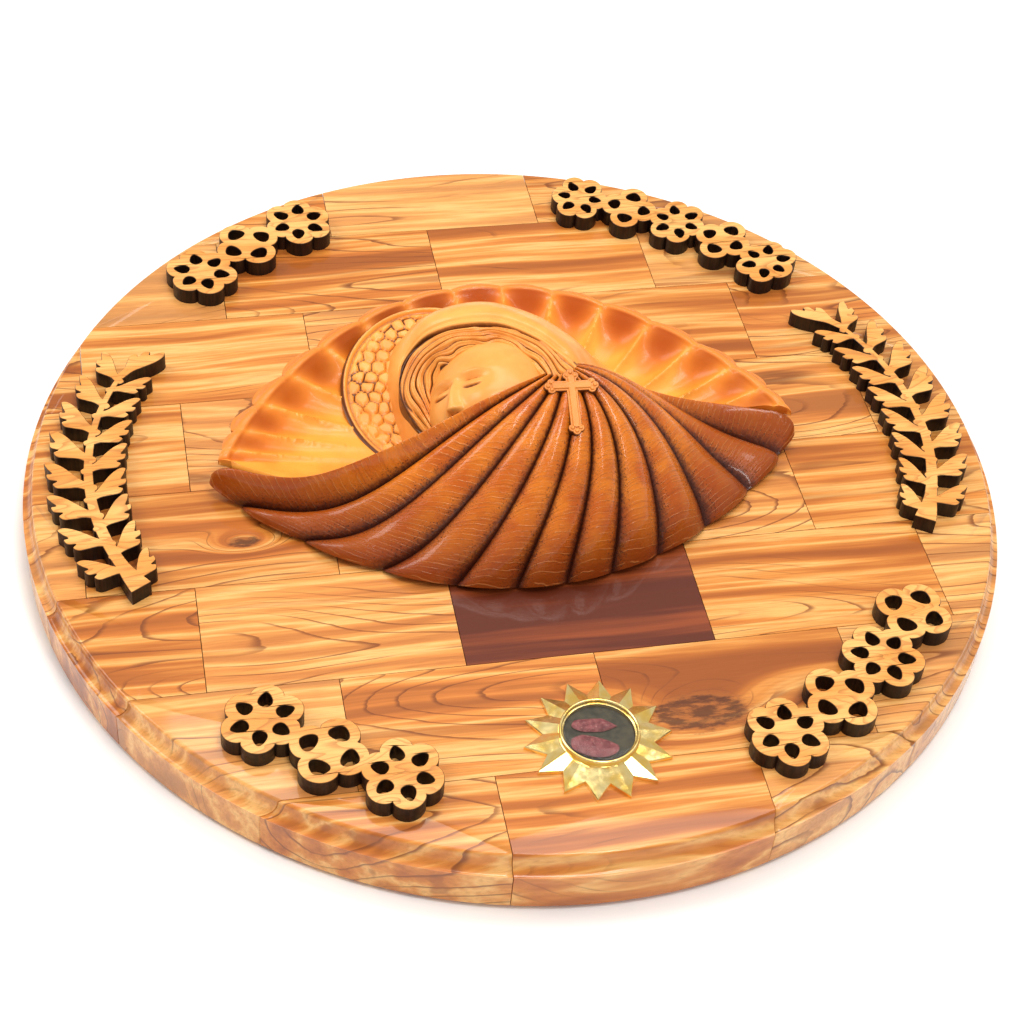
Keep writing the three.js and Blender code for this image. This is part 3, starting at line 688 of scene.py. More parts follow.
def join_cuts(cuts):
    """The points, the faces and, plate by plate, the wall mask of plates given as loops, low and high:
    charring on the ply, painted shade on the cross.
    """
    points, faces, char, start = [], [], [], 0
    for loops, low, high in cuts:
        p, f, c = cut_shape(loops, low, high)
        points.append(p)
        faces += [[start + corner for corner in face] for face in f]
        char.append(c)
        start += len(p)
    return np.vstack(points), faces, char


def cut_piece(name, shapes, material, node):
    """Plates that overlap or touch, each a hair lower than the one before it, as one piece."""
    top = DECK + CUT_THICKNESS
    cuts = [(loops, DECK + 0.02, top - LAYER_STEP * order) for order, loops in enumerate(shapes)]
    points, faces, char = join_cuts(cuts)
    values = {"char": np.concatenate(char)}
    mesh_piece(name, points, faces, material, [node], values, sharp=30)


def build_band(node, material):
    """Foils along an arc near the rim, six-lobed and four-lobed by turns, that overlap a little."""
    count, pitch, middle = BANDS[node]
    shapes = []
    for i in range(count):
        angle = math.radians(middle) + (i - (count - 1) / 2) * pitch / BAND_RADIUS
        width = pitch + 2 * MOTIF_OVERLAP
        if i % 2 == 0:
            loops = foil(width, MOTIF_HEIGHT, 6, 0.2, 0)
        else:
            loops = foil(width, MOTIF_HEIGHT * 0.94, 4, 0.3, math.pi / 2)
        spot = (BAND_RADIUS * math.cos(angle), BAND_RADIUS * math.sin(angle))
        shapes.append([turned(loop, angle - math.pi / 2, spot) for loop in loops])
    cut_piece("cut_" + node, shapes, material, node)


def build_branch(node, material):
    """A stem along an arc, with pairs of lobed leaves that lean forward and bend up, and a tip leaf."""
    mirror, drop = BRANCHES[node]
    start, end = [math.radians(turn) for turn in BRANCH_TURNS]
    centre_x = BRANCH_RADIUS + BRANCH_INSET - BOARD_RADIUS
    share = np.linspace(0, 1, 40)
    angle = start + (end - start) * share
    half = STEM_WIDTH / 2 * (1 - 0.62 * share) * (0.85 + 0.5 * ease(share, 0.12, 0.0))
    heading = np.stack([np.cos(angle), np.sin(angle)], -1)
    outer, inner = heading * (BRANCH_RADIUS + half)[:, None], heading * (BRANCH_RADIUS - half)[:, None]
    shapes = [[np.vstack([outer, inner[::-1]])]]
    blade = closed_curve(LEAF_OUTLINE, 6) * (1.0, 1.22)
    blade = blade + np.stack([0 * blade[:, 0], LEAF_BEND * blade[:, 0] ** 2], -1)
    leaves = [(0.08 + 0.86 * i / (LEAF_PAIRS - 1), side) for i in range(LEAF_PAIRS) for side in (1, -1)]
    for place, side in leaves + [(0.97, 0)]:
        size = LEAF_LENGTH * (0.85 + 0.22 * math.sin(place * math.pi)) * (0.92 if side < 0 else 1.0)
        size *= 1.0 if side else 1.15
        place -= 0.05 if side < 0 else 0.0
        lean = (1.75, 0.5, 0.46)[side]
        angle = start + (end - start) * place
        unit = blade * (size, -size * (side or 1))
        toward = angle - (side or 1) * lean if side >= 0 else angle + math.pi + lean
        spot = (BRANCH_RADIUS * math.cos(angle), BRANCH_RADIUS * math.sin(angle))
        shapes.append([turned(unit, toward, spot)])
    moved = [[(loop + (centre_x, drop)) * (mirror, 1) for loop in loops] for loops in shapes]
    cut_piece("cut_" + node, moved, material, node)


# ---------------------------------------------------------------- shell
def outline(turn):
    """The plan of the shell: a pointed oval, x the cosine and y a power of the sine of the turn."""
    rise = np.abs(np.sin(turn)) ** TIP_SHARPNESS
    depth = np.where(np.sin(turn) >= 0, DISH_DEPTH, -VALVE_DEPTH)
    return SHELL_X + SHELL_HALF * np.cos(turn), SEAM_Y + depth * rise


def rim_height(turn):
    """Height of the dish's rim above the deck: lowest at the two tips."""
    return TIP_HEIGHT + (RIM_HEIGHT - TIP_HEIGHT) * np.abs(np.sin(turn)) ** 0.8


def dish_height(turn, share):
    """Height of the inside of the dish above the deck: the floor and a power of the share of the way out."""
    return DISH_FLOOR + (rim_height(turn) - DISH_FLOOR) * np.minimum(1, share / 0.97) ** 2.4


def lobe(turn):
    """0 where two rim lobes meet and 1 in the middle of a lobe, along the back of the dish: mostly half a
    circle across the lobe, so the ridges between lobes are narrow."""
    share = (turn / math.pi * DISH_LOBES) % 1
    arc = np.sqrt(np.clip(1 - (2 * share - 1) ** 2, 0, 1))
    return (0.75 * arc + 0.25 * np.sin(math.pi * share)) * ease(np.sin(turn), -0.02, 0.02)


def dish_spot(x, y):
    """The turn and the share of the way out of a plan point, by halving the bracket of the share."""
    across = (x - SHELL_X) / SHELL_HALF
    depth = np.where(y >= SEAM_Y, DISH_DEPTH, VALVE_DEPTH)
    along = np.abs(y - SEAM_Y) / depth
    low, high = np.full(np.shape(across), 1e-4), np.full(np.shape(across), 2.0)
    for _ in range(36):
        middle = (low + high) / 2
        outside = (across / middle) ** 2 + (along / middle) ** (2 / TIP_SHARPNESS) > 1
        low, high = np.where(outside, middle, low), np.where(outside, high, middle)
    share = (low + high) / 2
    cosine = np.clip(across / share, -1, 1)
    turn = np.arccos(cosine)
    return np.where(y >= SEAM_Y, turn, -turn), share


def dish_top(x, y):
    """Absolute height of the inside of the dish at plan points."""
    turn, share = dish_spot(x, y)
    return DECK + dish_height(turn, share)


def valve_point(fan, out, ribbed=True):
    """A point of the front valve. fan runs from the left lip to the right lip, out from the umbo to the
    margin. The plan point turns about the umbo by a swirl that fades outwards, and the height falls as a
    flared power. Each lip stands up, ribs swell with the way out, and their ends round off."""
    side = 2 * fan - 1
    turn = math.pi * (1 + fan) + 0.195 * np.sin(TAU * fan)
    margin_x, margin_y = outline(turn + 0.083 * np.sin(math.pi * fan))
    reach = out**0.77
    twist = SWIRL * (1 - out)
    dx, dy = margin_x - UMBO[0], margin_y - UMBO[1]
    x = UMBO[0] + reach * (dx * np.cos(twist) - dy * np.sin(twist))
    y = UMBO[1] + reach * (dx * np.sin(twist) + dy * np.cos(twist))
    power = 1.76 - 0.65 * side - 0.18 * side**2
    flare = (1.31 - 1.18 * side + 3.1 * side**2) * (1 - FULLNESS * np.sin(math.pi * fan))
    z = MARGIN_HEIGHT + (VALVE_HEIGHT - MARGIN_HEIGHT) * np.maximum(0, 1 - out**power) ** flare
    lip = LEFT_LIP_RISE * out**1.3 * (2 - out) + 5.0 * np.exp(-(((out - 0.52) / 0.2) ** 2))
    z = z + lip * np.maximum(0, 1 - RIBS * fan)
    z = z + RIGHT_LIP_RISE * (1 - (1 - out) ** 3) * np.maximum(0, 1 - RIBS * (1 - fan))
    if ribbed:
        rib = rib_round(fan)
        grow = 0.3 + 0.7 * out
        end = np.sqrt(np.clip(1 - np.clip((out - 0.9) / 0.1, 0, 1) ** 2, 0, 1))
        z = 0.5 + (z - 0.5 + grow * (RIB_HEIGHT * rib - RIB_SINK)) * (0.35 + 0.65 * end)
        swell = RIB_SWELL * rib * ease(out, 0.72, 1.0)
        x, y = x + dx * swell, y + dy * swell
    return np.stack([x, y, DECK + z], -1)


def rib_round(fan):
    """The section across a rib, 0 in its grooves and 1 on its crest: a little more of a half-circle than of a
    half-sine."""
    share = (RIBS * fan) % 1
    return 0.55 * np.sqrt(np.clip(1 - (2 * share - 1) ** 2, 0, 1)) + 0.45 * np.sin(math.pi * share)


def both_sides(values, below=1.0):
    """Values for a two-sided piece: the top's, and the same times a factor for the underside."""
    return np.concatenate([values.ravel(), (values * below).ravel()])


def build_valve(material):
    """The outside is the valve's own grid; the inside lies a wall's thickness below it."""
    fan, out = np.meshgrid(np.linspace(0, 1, RIBS * 28 + 1), np.linspace(0.03, 1, 110))
    top = valve_point(fan, out)
    bottom = valve_point(fan, out * 0.93, ribbed=False)
    top[..., 2] = np.maximum(top[..., 2], DECK + 0.5)
    bottom[..., 2] = np.maximum(np.minimum(bottom[..., 2] - VALVE_WALL, top[..., 2] - 1.5), DECK + 0.05)
    points, faces = two_sided(top, bottom)
    groove = 1.1 * (1 - rib_round(fan)) ** 0.85
    low = np.clip(1 - (top[..., 2] - DECK) / 24, 0, 1)
    uv = np.stack([both_sides(fan * RIBS), both_sides(out * RIB_LENGTH)], -1)
    values = {"groove": both_sides(groove), "low": both_sides(low)}
    mesh_piece("ribbed_valve", points, faces, material, ["front_shell"], values, uv, sharp=60)


def lip_path(count):
    """Plan points along the valve's lip, from the left tip over the umbo to the right tip."""
    out = np.linspace(1, 0.03, count // 2)
    left = valve_point(np.zeros_like(out), out, False)[:, :2]
    right = valve_point(np.ones_like(out), out[::-1], False)[:, :2]
    path = np.vstack([left, right])
    order = np.argsort(path[:, 0])
    return path[order]


FRONT_EVENNESS, FRONT_GAP = 0.35, 0.15


def build_dish(material):
    """The dish runs from just behind the lip to the scalloped rim. Its inside is the bowl's curve with a
    ridge between each two lobes, a scoop under each lobe and a bead along the rim; its outside is the same
    bowl a wall lower, down to the board."""
    columns, rows = DISH_LOBES * 24 + 1, 84
    turn = np.linspace(math.pi, 0, columns)
    bulge = LOBE_BULGE / (DISH_DEPTH * 1.2) * ease(np.sin(turn), 0.12, 0.5)
    swell = 1 + lobe(turn) * bulge
    rim_x, rim_y = outline(turn)
    rim = np.stack([SHELL_X + (rim_x - SHELL_X) * swell, SEAM_Y + (rim_y - SEAM_Y) * swell], -1)
    path = lip_path(400)
    front_x = np.linspace(path[0, 0] + 0.5, path[-1, 0] - 0.5, columns)
    front_x = rim[:, 0] * (1 - FRONT_EVENNESS) + front_x * FRONT_EVENNESS
    front = np.stack([front_x, np.interp(front_x, path[:, 0], path[:, 1]) + FRONT_GAP], -1)
    share = (1 - (1 - np.linspace(0, 1, rows)) ** 1.5)[:, None, None]
    plan = front[None] * (1 - share) + rim[None] * share
    x, y = plan[..., 0], plan[..., 1]
    spot_turn, spot_share = dish_spot(x, y)
    flute = lobe(spot_turn + 0.1 * (1 - spot_share))
    height = dish_height(spot_turn, np.minimum(spot_share, 1.0))
    broad = np.clip(np.sin(spot_turn) * 1.7, 0.1, 1)
    ridge = 1.2 * ease(spot_share, 0.4, 0.8) * (1 - ease(spot_share, 0.9, 0.97))
    scoop = 2.2 * ease(spot_share, 0.55, 0.82) * (1 - ease(spot_share, 0.86, 0.965))
    lifted = 1.1 * ease(spot_share, 0.9, 0.97)
    height = height + broad * ((1 - flute) * ridge + flute * (lifted - scoop))
    bead = ease(spot_share, 0.955, 0.975)
    height = height + 0.6 * bead * (1 - ease(spot_share, 0.985, 1.03))
    height = height - ease(spot_share, 0.985, 1.05) * 1.8
    top = np.stack([x, y, DECK + height], -1)
    low_share = np.clip(spot_share, 0, 1)
    under = np.interp(low_share, [0, 0.55, 0.74, 0.88, 0.97, 1], [0, 0, 0.12, 0.42, 0.8, 0.9])
    outside = np.minimum(rim_height(spot_turn) * under, height - 1.2)
    bottom = np.stack([x, y, DECK + outside + 0.02], -1)
    points, faces = two_sided(top, bottom)
    # Painted shade under the rim lobes, on the inside only.
    rim_shade = ease(spot_share, 0.66 + 0.2 * (1 - flute), 0.95) * (0.12 + 0.88 * flute**0.7)
    hollow = rim_shade * (0.78 + 0.22 * np.sin(spot_turn))
    values = {"hollow": both_sides(hollow, 0), "edge": both_sides(bead, 0.4)}
    piece = mesh_piece("scalloped_dish", points, faces, material, ["shell_dish"], values,
                       sharp=70)
    merge_doubles(piece)


# ---------------------------------------------------------------- relief figure
LIP_CLEARANCE = 0.7


def behind_lip(plan):
    """Plan points moved back, along Y, to just behind the valve's lip."""
    path = lip_path(400)
    lip = np.interp(plan[..., 0], path[:, 0], path[:, 1]) + LIP_CLEARANCE
    moved = plan.copy()
    moved[..., 1] = np.maximum(plan[..., 1], lip)
    return moved


def relief(name, plan, height, material, replaces, wash, around=False, sharp=60):
    """A closed lump on the dish from a grid of plan points and heights: its underside follows the dish."""
    bed = dish_top(plan[..., 0], plan[..., 1]) + 0.12
    top = np.dstack([plan, np.maximum(height, bed + 0.12)])
    bottom = np.dstack([plan, bed])
    points, faces = two_sided(top, bottom, around)
    # The underside takes painted shade of 0.6, so the walls grade into a dark painted shadow round the
    # piece's edge.
    values = {"wash": np.concatenate([wash.ravel(), wash.ravel() * 0 + 0.6])}
    merge_doubles(mesh_piece(name, points, faces, material, replaces, values, sharp=sharp))


HALO_CENTRE, HALO_RADIUS, HALO_TILT, HALO_HEIGHT = np.array([-20.0, 20.0]), 26.5, 0.3, 10.8
COBBLE_PITCH, COBBLE_STRAY = 3.7, 0.85


def build_halo(material):
    """A tilted disc with a raised rim line and a cobbled face. Cracks run where the two nearest seeds, of a
    staggered grid of strayed seeds, are equally far."""
    turn = np.linspace(0, TAU, 240, endpoint=False)
    share = np.linspace(0.02, 1, 110)[:, None]
    plan = HALO_CENTRE + np.dstack([share * HALO_RADIUS * np.cos(turn), share * HALO_RADIUS * np.sin(turn)])
    plan = behind_lip(plan)
    x, y = plan[..., 0], plan[..., 1]
    rng = np.random.default_rng(7)
    gx, gy = np.meshgrid(np.arange(-50, 12, COBBLE_PITCH), np.arange(-10, 50, COBBLE_PITCH * 0.87))
    gx = gx + (np.arange(gx.shape[0]) % 2)[:, None] * COBBLE_PITCH / 2
    seeds = np.stack([gx.ravel(), gy.ravel()], -1) + rng.uniform(-COBBLE_STRAY, COBBLE_STRAY, (gx.size, 2))
    away = np.hypot(x[..., None] - seeds[:, 0], y[..., None] - seeds[:, 1])
    nearest = np.sort(np.partition(away, 1, axis=-1)[..., :2], -1)
    crack = 1 - ease(nearest[..., 1] - nearest[..., 0], 0.05, 0.85)
    radius = np.hypot(x - HALO_CENTRE[0], y - HALO_CENTRE[1]) / HALO_RADIUS
    rim = ease(radius, 0.925, 0.955)
    line = ease(radius, 0.895, 0.925) * (1 - rim)
    crack = crack * (1 - ease(radius, 0.88, 0.93))
    height = DECK + HALO_HEIGHT + HALO_TILT * (y - HALO_CENTRE[1])
    height = height - 0.8 * crack - 0.6 * line + 0.25 * rim - 1.2 * ease(radius, 0.97, 1.0)
    # Painted shade in the cracks and the rim line's groove, uneven across the face, and a painted shadow ring
    # round the halo's outer edge.
    uneven = 0.55 + 0.45 * np.sin(x * 0.21 + 1.0) * np.sin(y * 0.19)
    wash = np.clip(crack * uneven * 1.25 + line * 0.6 + 1.2 * ease(radius, 0.955, 0.985), 0, 1)
    relief("cobbled_halo", plan, height, material, ["halo_disc"], wash, around=True, sharp=75)


HOOD_INNER = [
    (-22.0, -10.0, 33.5), (-25.5, -2.5, 34.0), (-28.5, 4.5, 34.5), (-30.0, 12.5, 35.0), (-30.2, 19.0, 36.0),
    (-27.8, 24.2, 37.0), (-22.8, 26.0, 42.0), (-16.9, 24.8, 46.0), (-11.6, 23.4, 48.0), (-6.0, 22.0, 49.0),
    (-0.7, 19.8, 49.2), (6.6, 14.0, 48.6), (12.3, 7.0, 47.4), (18.3, 2.2, 45.6), (25.0, 0.5, 42.5),
    (33.0, 0.0, 38.0),
]
HOOD_OUTER = [
    (-30.0, -10.0, 26.0), (-30.0, -2.0, 26.0), (-32.0, 5.5, 26.0), (-33.5, 14.5, 26.0), (-34.0, 25.0, 28.0),
    (-31.5, 35.0, 30.5), (-25.5, 40.4, 31.5), (-20.6, 43.4, 33.0), (-13.8, 45.6, 34.0), (-6.8, 46.4, 34.0),
    (0.3, 45.0, 33.5), (10.5, 40.6, 32.5), (21.0, 33.0, 31.0), (31.5, 24.5, 29.0), (41.0, 14.5, 29.0),
    (47.0, 5.0, 29.0),
]


def build_hood(material):
    """A crescent lofted between its front edge and its back edge. Across it, the surface has a rolled hem,
    crowns and falls in a long curve to the dish; it drapes lower to the right until it meets the dish."""
    count, across = 300, 72
    inner, outer = smooth_path(HOOD_INNER, count), smooth_path(HOOD_OUTER, count)
    along = np.linspace(0, 1, count)[None]
    t = np.linspace(0, 1, across)[:, None] ** 1.15
    plan = inner[None, :, :2] * (1 - t[..., None]) + outer[None, :, :2] * t[..., None]
    plan = behind_lip(plan)
    bed = dish_top(outer[:, 0], outer[:, 1])[None]
    meet = 1 - ease(along, 0.8, 1.0)
    crown = bed + (inner[None, :, 2] - bed) * meet
    wide = ease(along, 0.28, 0.42) * (1 - ease(along, 0.75, 0.95))
    rise = 2.6 * wide * np.sin(math.pi * t**0.85) * (1 - t) ** 0.4
    height = bed + (crown - bed) * (1 - t ** (1.6 + 0.8 * wide)) + rise
    hem = 0.55 * np.exp(-(((t - 0.035) / 0.03) ** 2)) - 0.35 * np.exp(-(((t - 0.1) / 0.02) ** 2))
    height = height + hem * meet - 1.4 * (1 - ease(t, 0.0, 0.02))
    drape = ease(along, 0.55, 0.8) * meet * np.sin(math.pi * t)
    folds = np.sin((t * 2.6 + along * 1.1) * TAU)
    height = height + 0.35 * folds * drape
    seam = np.exp(-(((t - 0.1) / 0.018) ** 2)) * meet
    # Painted shade along the inner step, in the hem groove and the fold troughs, and near the outer edge.
    wash = 1.0 * (1 - ease(t, 0.004, 0.035)) + 0.2 * seam + 0.12 * ease(-folds, 0.2, 1.0) * drape
    wash = np.clip(wash + 0.35 * ease(t, 0.93, 1.0) * wide, 0, 1) * np.ones_like(height)
    relief("hood", plan[::-1], height[::-1], material, ["veil"], wash[::-1], sharp=80)


HAIR_PATH = [
    (-18.0, -10.0, 33.0), (-21.6, -2.5, 34.0), (-24.8, 5.5, 35.4), (-25.8, 12.8, 38.0), (-23.0, 18.2, 42.5),
    (-16.5, 19.8, 46.4), (-10.2, 18.6, 48.5), (-4.2, 16.8, 49.3), (2.0, 13.4, 49.4), (7.4, 7.9, 48.8),
    (11.2, 2.4, 48.0), (13.6, -2.8, 47.2),
]
HAIR_WIDTHS = [4.2, 4.8, 5.2, 5.8, 6.0, 6.0, 5.8, 5.8, 6.0, 6.2, 6.2, 5.0]


def build_hair(material):
    """Locks along a path round the face: a rounded section, combed with grooves that drift and braid."""
    count, across = 320, 90
    path = smooth_path(HAIR_PATH, count)
    width = smooth_path([(w, w) for w in HAIR_WIDTHS], count)[:, 0]
    ahead = np.gradient(path[:, :2], axis=0)
    ahead /= np.hypot(ahead[:, 0], ahead[:, 1])[:, None]
    normal = np.stack([-ahead[:, 1], ahead[:, 0]], -1)
    t = np.linspace(-1, 1, across)[:, None]
    along = np.linspace(0, 1, count)[None]
    ragged = 1 + 0.1 * np.sin(along * 43 + 1) * (t < 0) + 0.06 * np.sin(along * 77) * (t < 0)
    plan = path[None, :, :2] + normal[None] * (t * width[None] * ragged)[..., None]
    plan = behind_lip(plan)
    drift = 0.3 * np.sin(along * 15 + 0.7) + 0.2 * np.sin(along * 37 + t * 3)
    strand = np.abs(np.sin((t * 3.3 + drift * 1.3 + along * 3.4) * math.pi))
    fine = np.abs(np.sin((t * 8.0 + drift * 2.6 + along * 9) * math.pi))
    body = np.sqrt(np.clip(1 - (t * 0.9) ** 2, 0, 1))
    height = path[None, :, 2] - 5.2 + 4.6 * body + 1.15 * strand**0.6 + 0.4 * fine
    # Painted shade between the strands and along both edges of the band.
    wash = (1 - strand) ** 2.2 + 0.5 * (1 - fine) ** 3 + 0.9 * ease(np.abs(t), 0.84, 0.98)
    wash = np.clip(wash, 0, 1)
    relief("hair_locks", plan, height, material, ["hair_band"], wash, sharp=80)


HEAD_CENTRE, HEAD_SIZE = np.array([-8.0, 3.8, 34.0]), np.array([18.2, 21.5, 17.5])
HEAD_YAW, HEAD_PITCH, HEAD_ROLL = -42.0, 14.0, -8.0


def swell(u, v, cu, cv, ru, rv, power=1.0):
    """A soft bump of height one over an oval of the face."""
    return np.exp(-((((u - cu) / ru) ** 2 + ((v - cv) / rv) ** 2) ** power))


def soft_line(v, place, width):
    """A soft line of height one along a place."""
    return np.exp(-(((v - place) / width) ** 2))


EYE_LINE, EYE_SIDE, NOSE_END, MOUTH_LINE = 0.0, 0.235, -0.34, -0.52


def lid_line(side):
    """Where the closed upper lid meets the lower one: an arc that sags below the eye line."""
    return EYE_LINE - 0.035 - 0.03 * (1 - ((side - EYE_SIDE) / 0.12) ** 2)


def face_relief(u, v):
    """How far the face stands out of its egg, in shares of its height. u runs across and v up; the eyes are
    at mid-height, the nose ends a third of the way to the chin's end and the mouth half-way. It is a sum of
    soft ovals: sockets, lids, brows, nose, nostrils, lips, chin and cheeks."""
    side = np.abs(u)
    stand = -0.075 * swell(side, v, EYE_SIDE - 0.01, EYE_LINE + 0.03, 0.17, 0.11)
    stand += 0.068 * swell(side, v, EYE_SIDE, EYE_LINE - 0.005, 0.115, 0.072, 1.3)
    stand -= 0.03 * soft_line(v, lid_line(side), 0.014) * swell(side, v, EYE_SIDE, EYE_LINE, 0.12, 0.2, 3)
    fold = EYE_LINE + 0.065 + 0.02 * (1 - ((side - EYE_SIDE) / 0.14) ** 2)
    stand -= 0.02 * soft_line(v, fold, 0.014) * swell(side, v, EYE_SIDE, EYE_LINE, 0.13, 0.3, 3)
    stand += 0.03 * swell(side, v, 0.22, EYE_LINE + 0.17, 0.2, 0.05)
    ridge = ease(v, NOSE_END - 0.07, NOSE_END + 0.03) * (1 - ease(v, -0.04, 0.16))
    slope = 0.05 + 0.085 * ease(-v, -0.12, -NOSE_END)
    stand += slope * ridge * np.exp(-((u / (0.05 + 0.03 * ease(-v, 0.1, 0.34))) ** 2))
    stand += 0.035 * swell(side, v, 0.07, NOSE_END + 0.03, 0.045, 0.04)
    stand += 0.045 * swell(u, v, 0, MOUTH_LINE + 0.035, 0.12, 0.034)
    stand += 0.05 * swell(u, v, 0, MOUTH_LINE - 0.045, 0.1, 0.036)
    stand -= 0.035 * soft_line(v, MOUTH_LINE, 0.012) * swell(u, v, 0, MOUTH_LINE, 0.15, 0.2, 3)
    stand += 0.06 * swell(u, v, 0, -0.79, 0.15, 0.1) + 0.04 * swell(side, v, 0.36, -0.25, 0.22, 0.2)
    return stand


def build_head(material):
    """An egg whose front carries the face. It is a sphere grid pressed in by the face relief, turned by yaw,
    pitch and roll, and cut off at the dish and behind the lip."""
    columns, rows = 320, 250
    azimuth = np.linspace(0, TAU, columns, endpoint=False)[None]
    polar = np.linspace(0.004, math.pi - 0.004, rows)[:, None]
    x = np.sin(polar) * np.sin(azimuth)
    y = np.cos(polar) * np.ones_like(azimuth)
    z = np.sin(polar) * np.cos(azimuth)
    narrow = 1 - 0.2 * ease(-y, 0.0, 1.0)
    front = ease(z, 0.0, 0.35)
    stand = face_relief(x * 0.8, y) * front
    flat = z * (1 - 0.12 * front)
    point = np.dstack([x * narrow, y, flat]) * HEAD_SIZE
    normal = np.dstack([x, y, z])
    point = point + normal * (stand * HEAD_SIZE[1])[..., None]
    yaw, pitch, roll = [math.radians(v) for v in (HEAD_YAW, HEAD_PITCH, HEAD_ROLL)]
    nod = Matrix.Rotation(pitch, 3, "X") @ Matrix.Rotation(yaw, 3, "Y")
    turn = np.array(Matrix.Rotation(roll, 3, "Z") @ nod)
    point = point @ turn.T + HEAD_CENTRE
    plan = behind_lip(point[..., :2])
    bed = dish_top(plan[..., 0], plan[..., 1]) + 0.15
    point = np.dstack([plan, np.maximum(point[..., 2], bed)])
    # Painted shade where the face sinks in, as in the eye sockets, and along its creases.
    wash = np.clip(ease(-stand, 0.02, 0.1) * 0.35 + crease_shade(x * 0.8, y) * front, 0, 1)
    points, faces = closed_rings(point)
    values = {"wash": np.append(wash.ravel(), [0, 0])}
    piece = mesh_piece("calm_head", points, faces, material, ["veiled_head"], values, sharp=80)
    merge_doubles(piece)


def crease_shade(u, v):
    """Where painted shade lies on the face: lash lines, lid folds, brows, nostrils and the line of the mouth.
    """
    side = np.abs(u)
    near_eye = swell(side, v, EYE_SIDE, EYE_LINE, 0.125, 0.2, 3)
    lash = soft_line(v, lid_line(side), 0.016) * near_eye
    fold = soft_line(v, EYE_LINE + 0.075, 0.012) * near_eye
    arch = EYE_LINE + 0.15 + 0.04 * (1 - ((side - 0.24) / 0.16) ** 2)
    brow = soft_line(v, arch, 0.016) * swell(side, v, 0.24, EYE_LINE + 0.17, 0.17, 0.2, 3)
    lips = soft_line(v, MOUTH_LINE, 0.013) * swell(u, v, 0, MOUTH_LINE, 0.14, 0.2, 3)
    nostril = swell(side, v, 0.045, NOSE_END - 0.035, 0.02, 0.015)
    return lash + 0.55 * fold + 0.35 * brow + 0.9 * lips + 0.8 * nostril


COLLAR_CENTRE, COLLAR_RADIUS, COLLAR_HEIGHT, COLLAR_FOLDS = np.array([-20.0, -3.0]), 13.0, 14.5, 11


def build_collar(material):
    """A low mound of cloth below the face, with folds that fan out from under the chin."""
    turn = np.linspace(0, TAU, 160, endpoint=False)
    share = np.linspace(0.02, 1, 50)[:, None]
    reach = COLLAR_RADIUS * share
    plan = behind_lip(COLLAR_CENTRE + np.dstack([reach * np.cos(turn), reach * np.sin(turn)]))
    folds = np.sin(turn[None] * COLLAR_FOLDS + share * 2.5)
    height = DECK + COLLAR_HEIGHT * (1 - share**3) + 0.6 * folds * share * (1 - share**4)
    # Painted shade in the fold troughs and round the outer edge.
    wash = np.clip(0.45 * ease(-folds, 0.2, 1.0) + 0.3 * ease(share, 0.9, 1.0), 0, 1) * np.ones_like(height)
    relief("collar_cloth", plan, height, material, [], wash, around=True, sharp=75)


# ---------------------------------------------------------------- cross
CROSS_SPOT, CROSS_TILT, CROSS_LEAN = (8.9, -14.7, DECK + 40.3), 0.36, 0.06
CROSS_HEAD, CROSS_FOOT, CROSS_ARM, CROSS_BAR = 2.9, -12.2, 5.3, 1.5
BUD_RADIUS, BUD_AHEAD, BUD_ASIDE = 1.1, 0.9, 1.05
CROSS_PLATES = ((-3.4, 0.5, 0.0, 1.0), (0.4, 0.85, 0.55, 0.45))


def build_cross(material):
    """Two bars and a bud of three round lobes at each end, tilted to lie on the ribs. Each is two bevelled
    plates, the upper one smaller and with less painted shade on its walls: low, high, how far in, and share
    of the painted shade."""
    bar, arm = CROSS_BAR, CROSS_ARM
    upright = np.array([(-bar, CROSS_FOOT), (bar, CROSS_FOOT), (bar, CROSS_HEAD), (-bar, CROSS_HEAD)])
    beam = np.array([(-arm, -bar), (arm, -bar), (arm, bar), (-arm, bar)])
    turn = np.linspace(0, TAU, 40, endpoint=False)
    circle = np.stack([np.cos(turn), np.sin(turn)], -1)
    plates = [upright, beam]
    for x, y, heading in ((arm, 0, 0), (-arm, 0, 2), (0, CROSS_HEAD, 1), (0, CROSS_FOOT, 3)):
        for quarter, reach in ((0, BUD_AHEAD), (1, BUD_ASIDE), (-1, BUD_ASIDE)):
            way = (heading + quarter) * math.pi / 2
            spot = (x + reach * math.cos(way), y + reach * math.sin(way))
            plates.append(circle * BUD_RADIUS + spot)
    cuts, shades = [], []
    for order, plate in enumerate(plates):
        for low, high, step_in, shade in CROSS_PLATES:
            cuts.append(([inset(plate, step_in)], low, high - LAYER_STEP * order))
            shades.append(shade)
    points, faces, char = join_cuts(cuts)
    turn = np.array(Matrix.Rotation(-CROSS_LEAN, 3, "Z") @ Matrix.Rotation(CROSS_TILT, 3, "X"))
    placed = points @ turn.T + CROSS_SPOT
    # Painted shade on the plates' walls: full on the lower plate, less on the upper one.
    values = {"wash": np.concatenate([part * shade for part, shade in zip(char, shades)])}
    mesh_piece("budded_cross", placed, faces, material, ["valve_cross"], values, sharp=30)


# ---------------------------------------------------------------- relic case
SUN_SPOT = ((SUN_LOW.x + SUN_HIGH.x) / 2, 35.5 - BOARD_RADIUS)
SUN_TIP, SUN_VALLEY, SUN_RAYS, SUN_SEAT = 18.75, 13.9, 14, 9.6
BEZEL_RADIUS, BEZEL_HEIGHT, LENS_RADIUS, CASE_FLOOR = 10.1, 2.5, 9.25, DECK + 2.0
CROWN, BEZEL_GROOVE, LENS_SEAT, LENS_PLAY, LENS_RISE, CARD_PLAY = 0.6, 0.18, 0.35, 0.1, 0.5, 0.4
ON_AXIS, CASE_STEPS = 0.001, 160


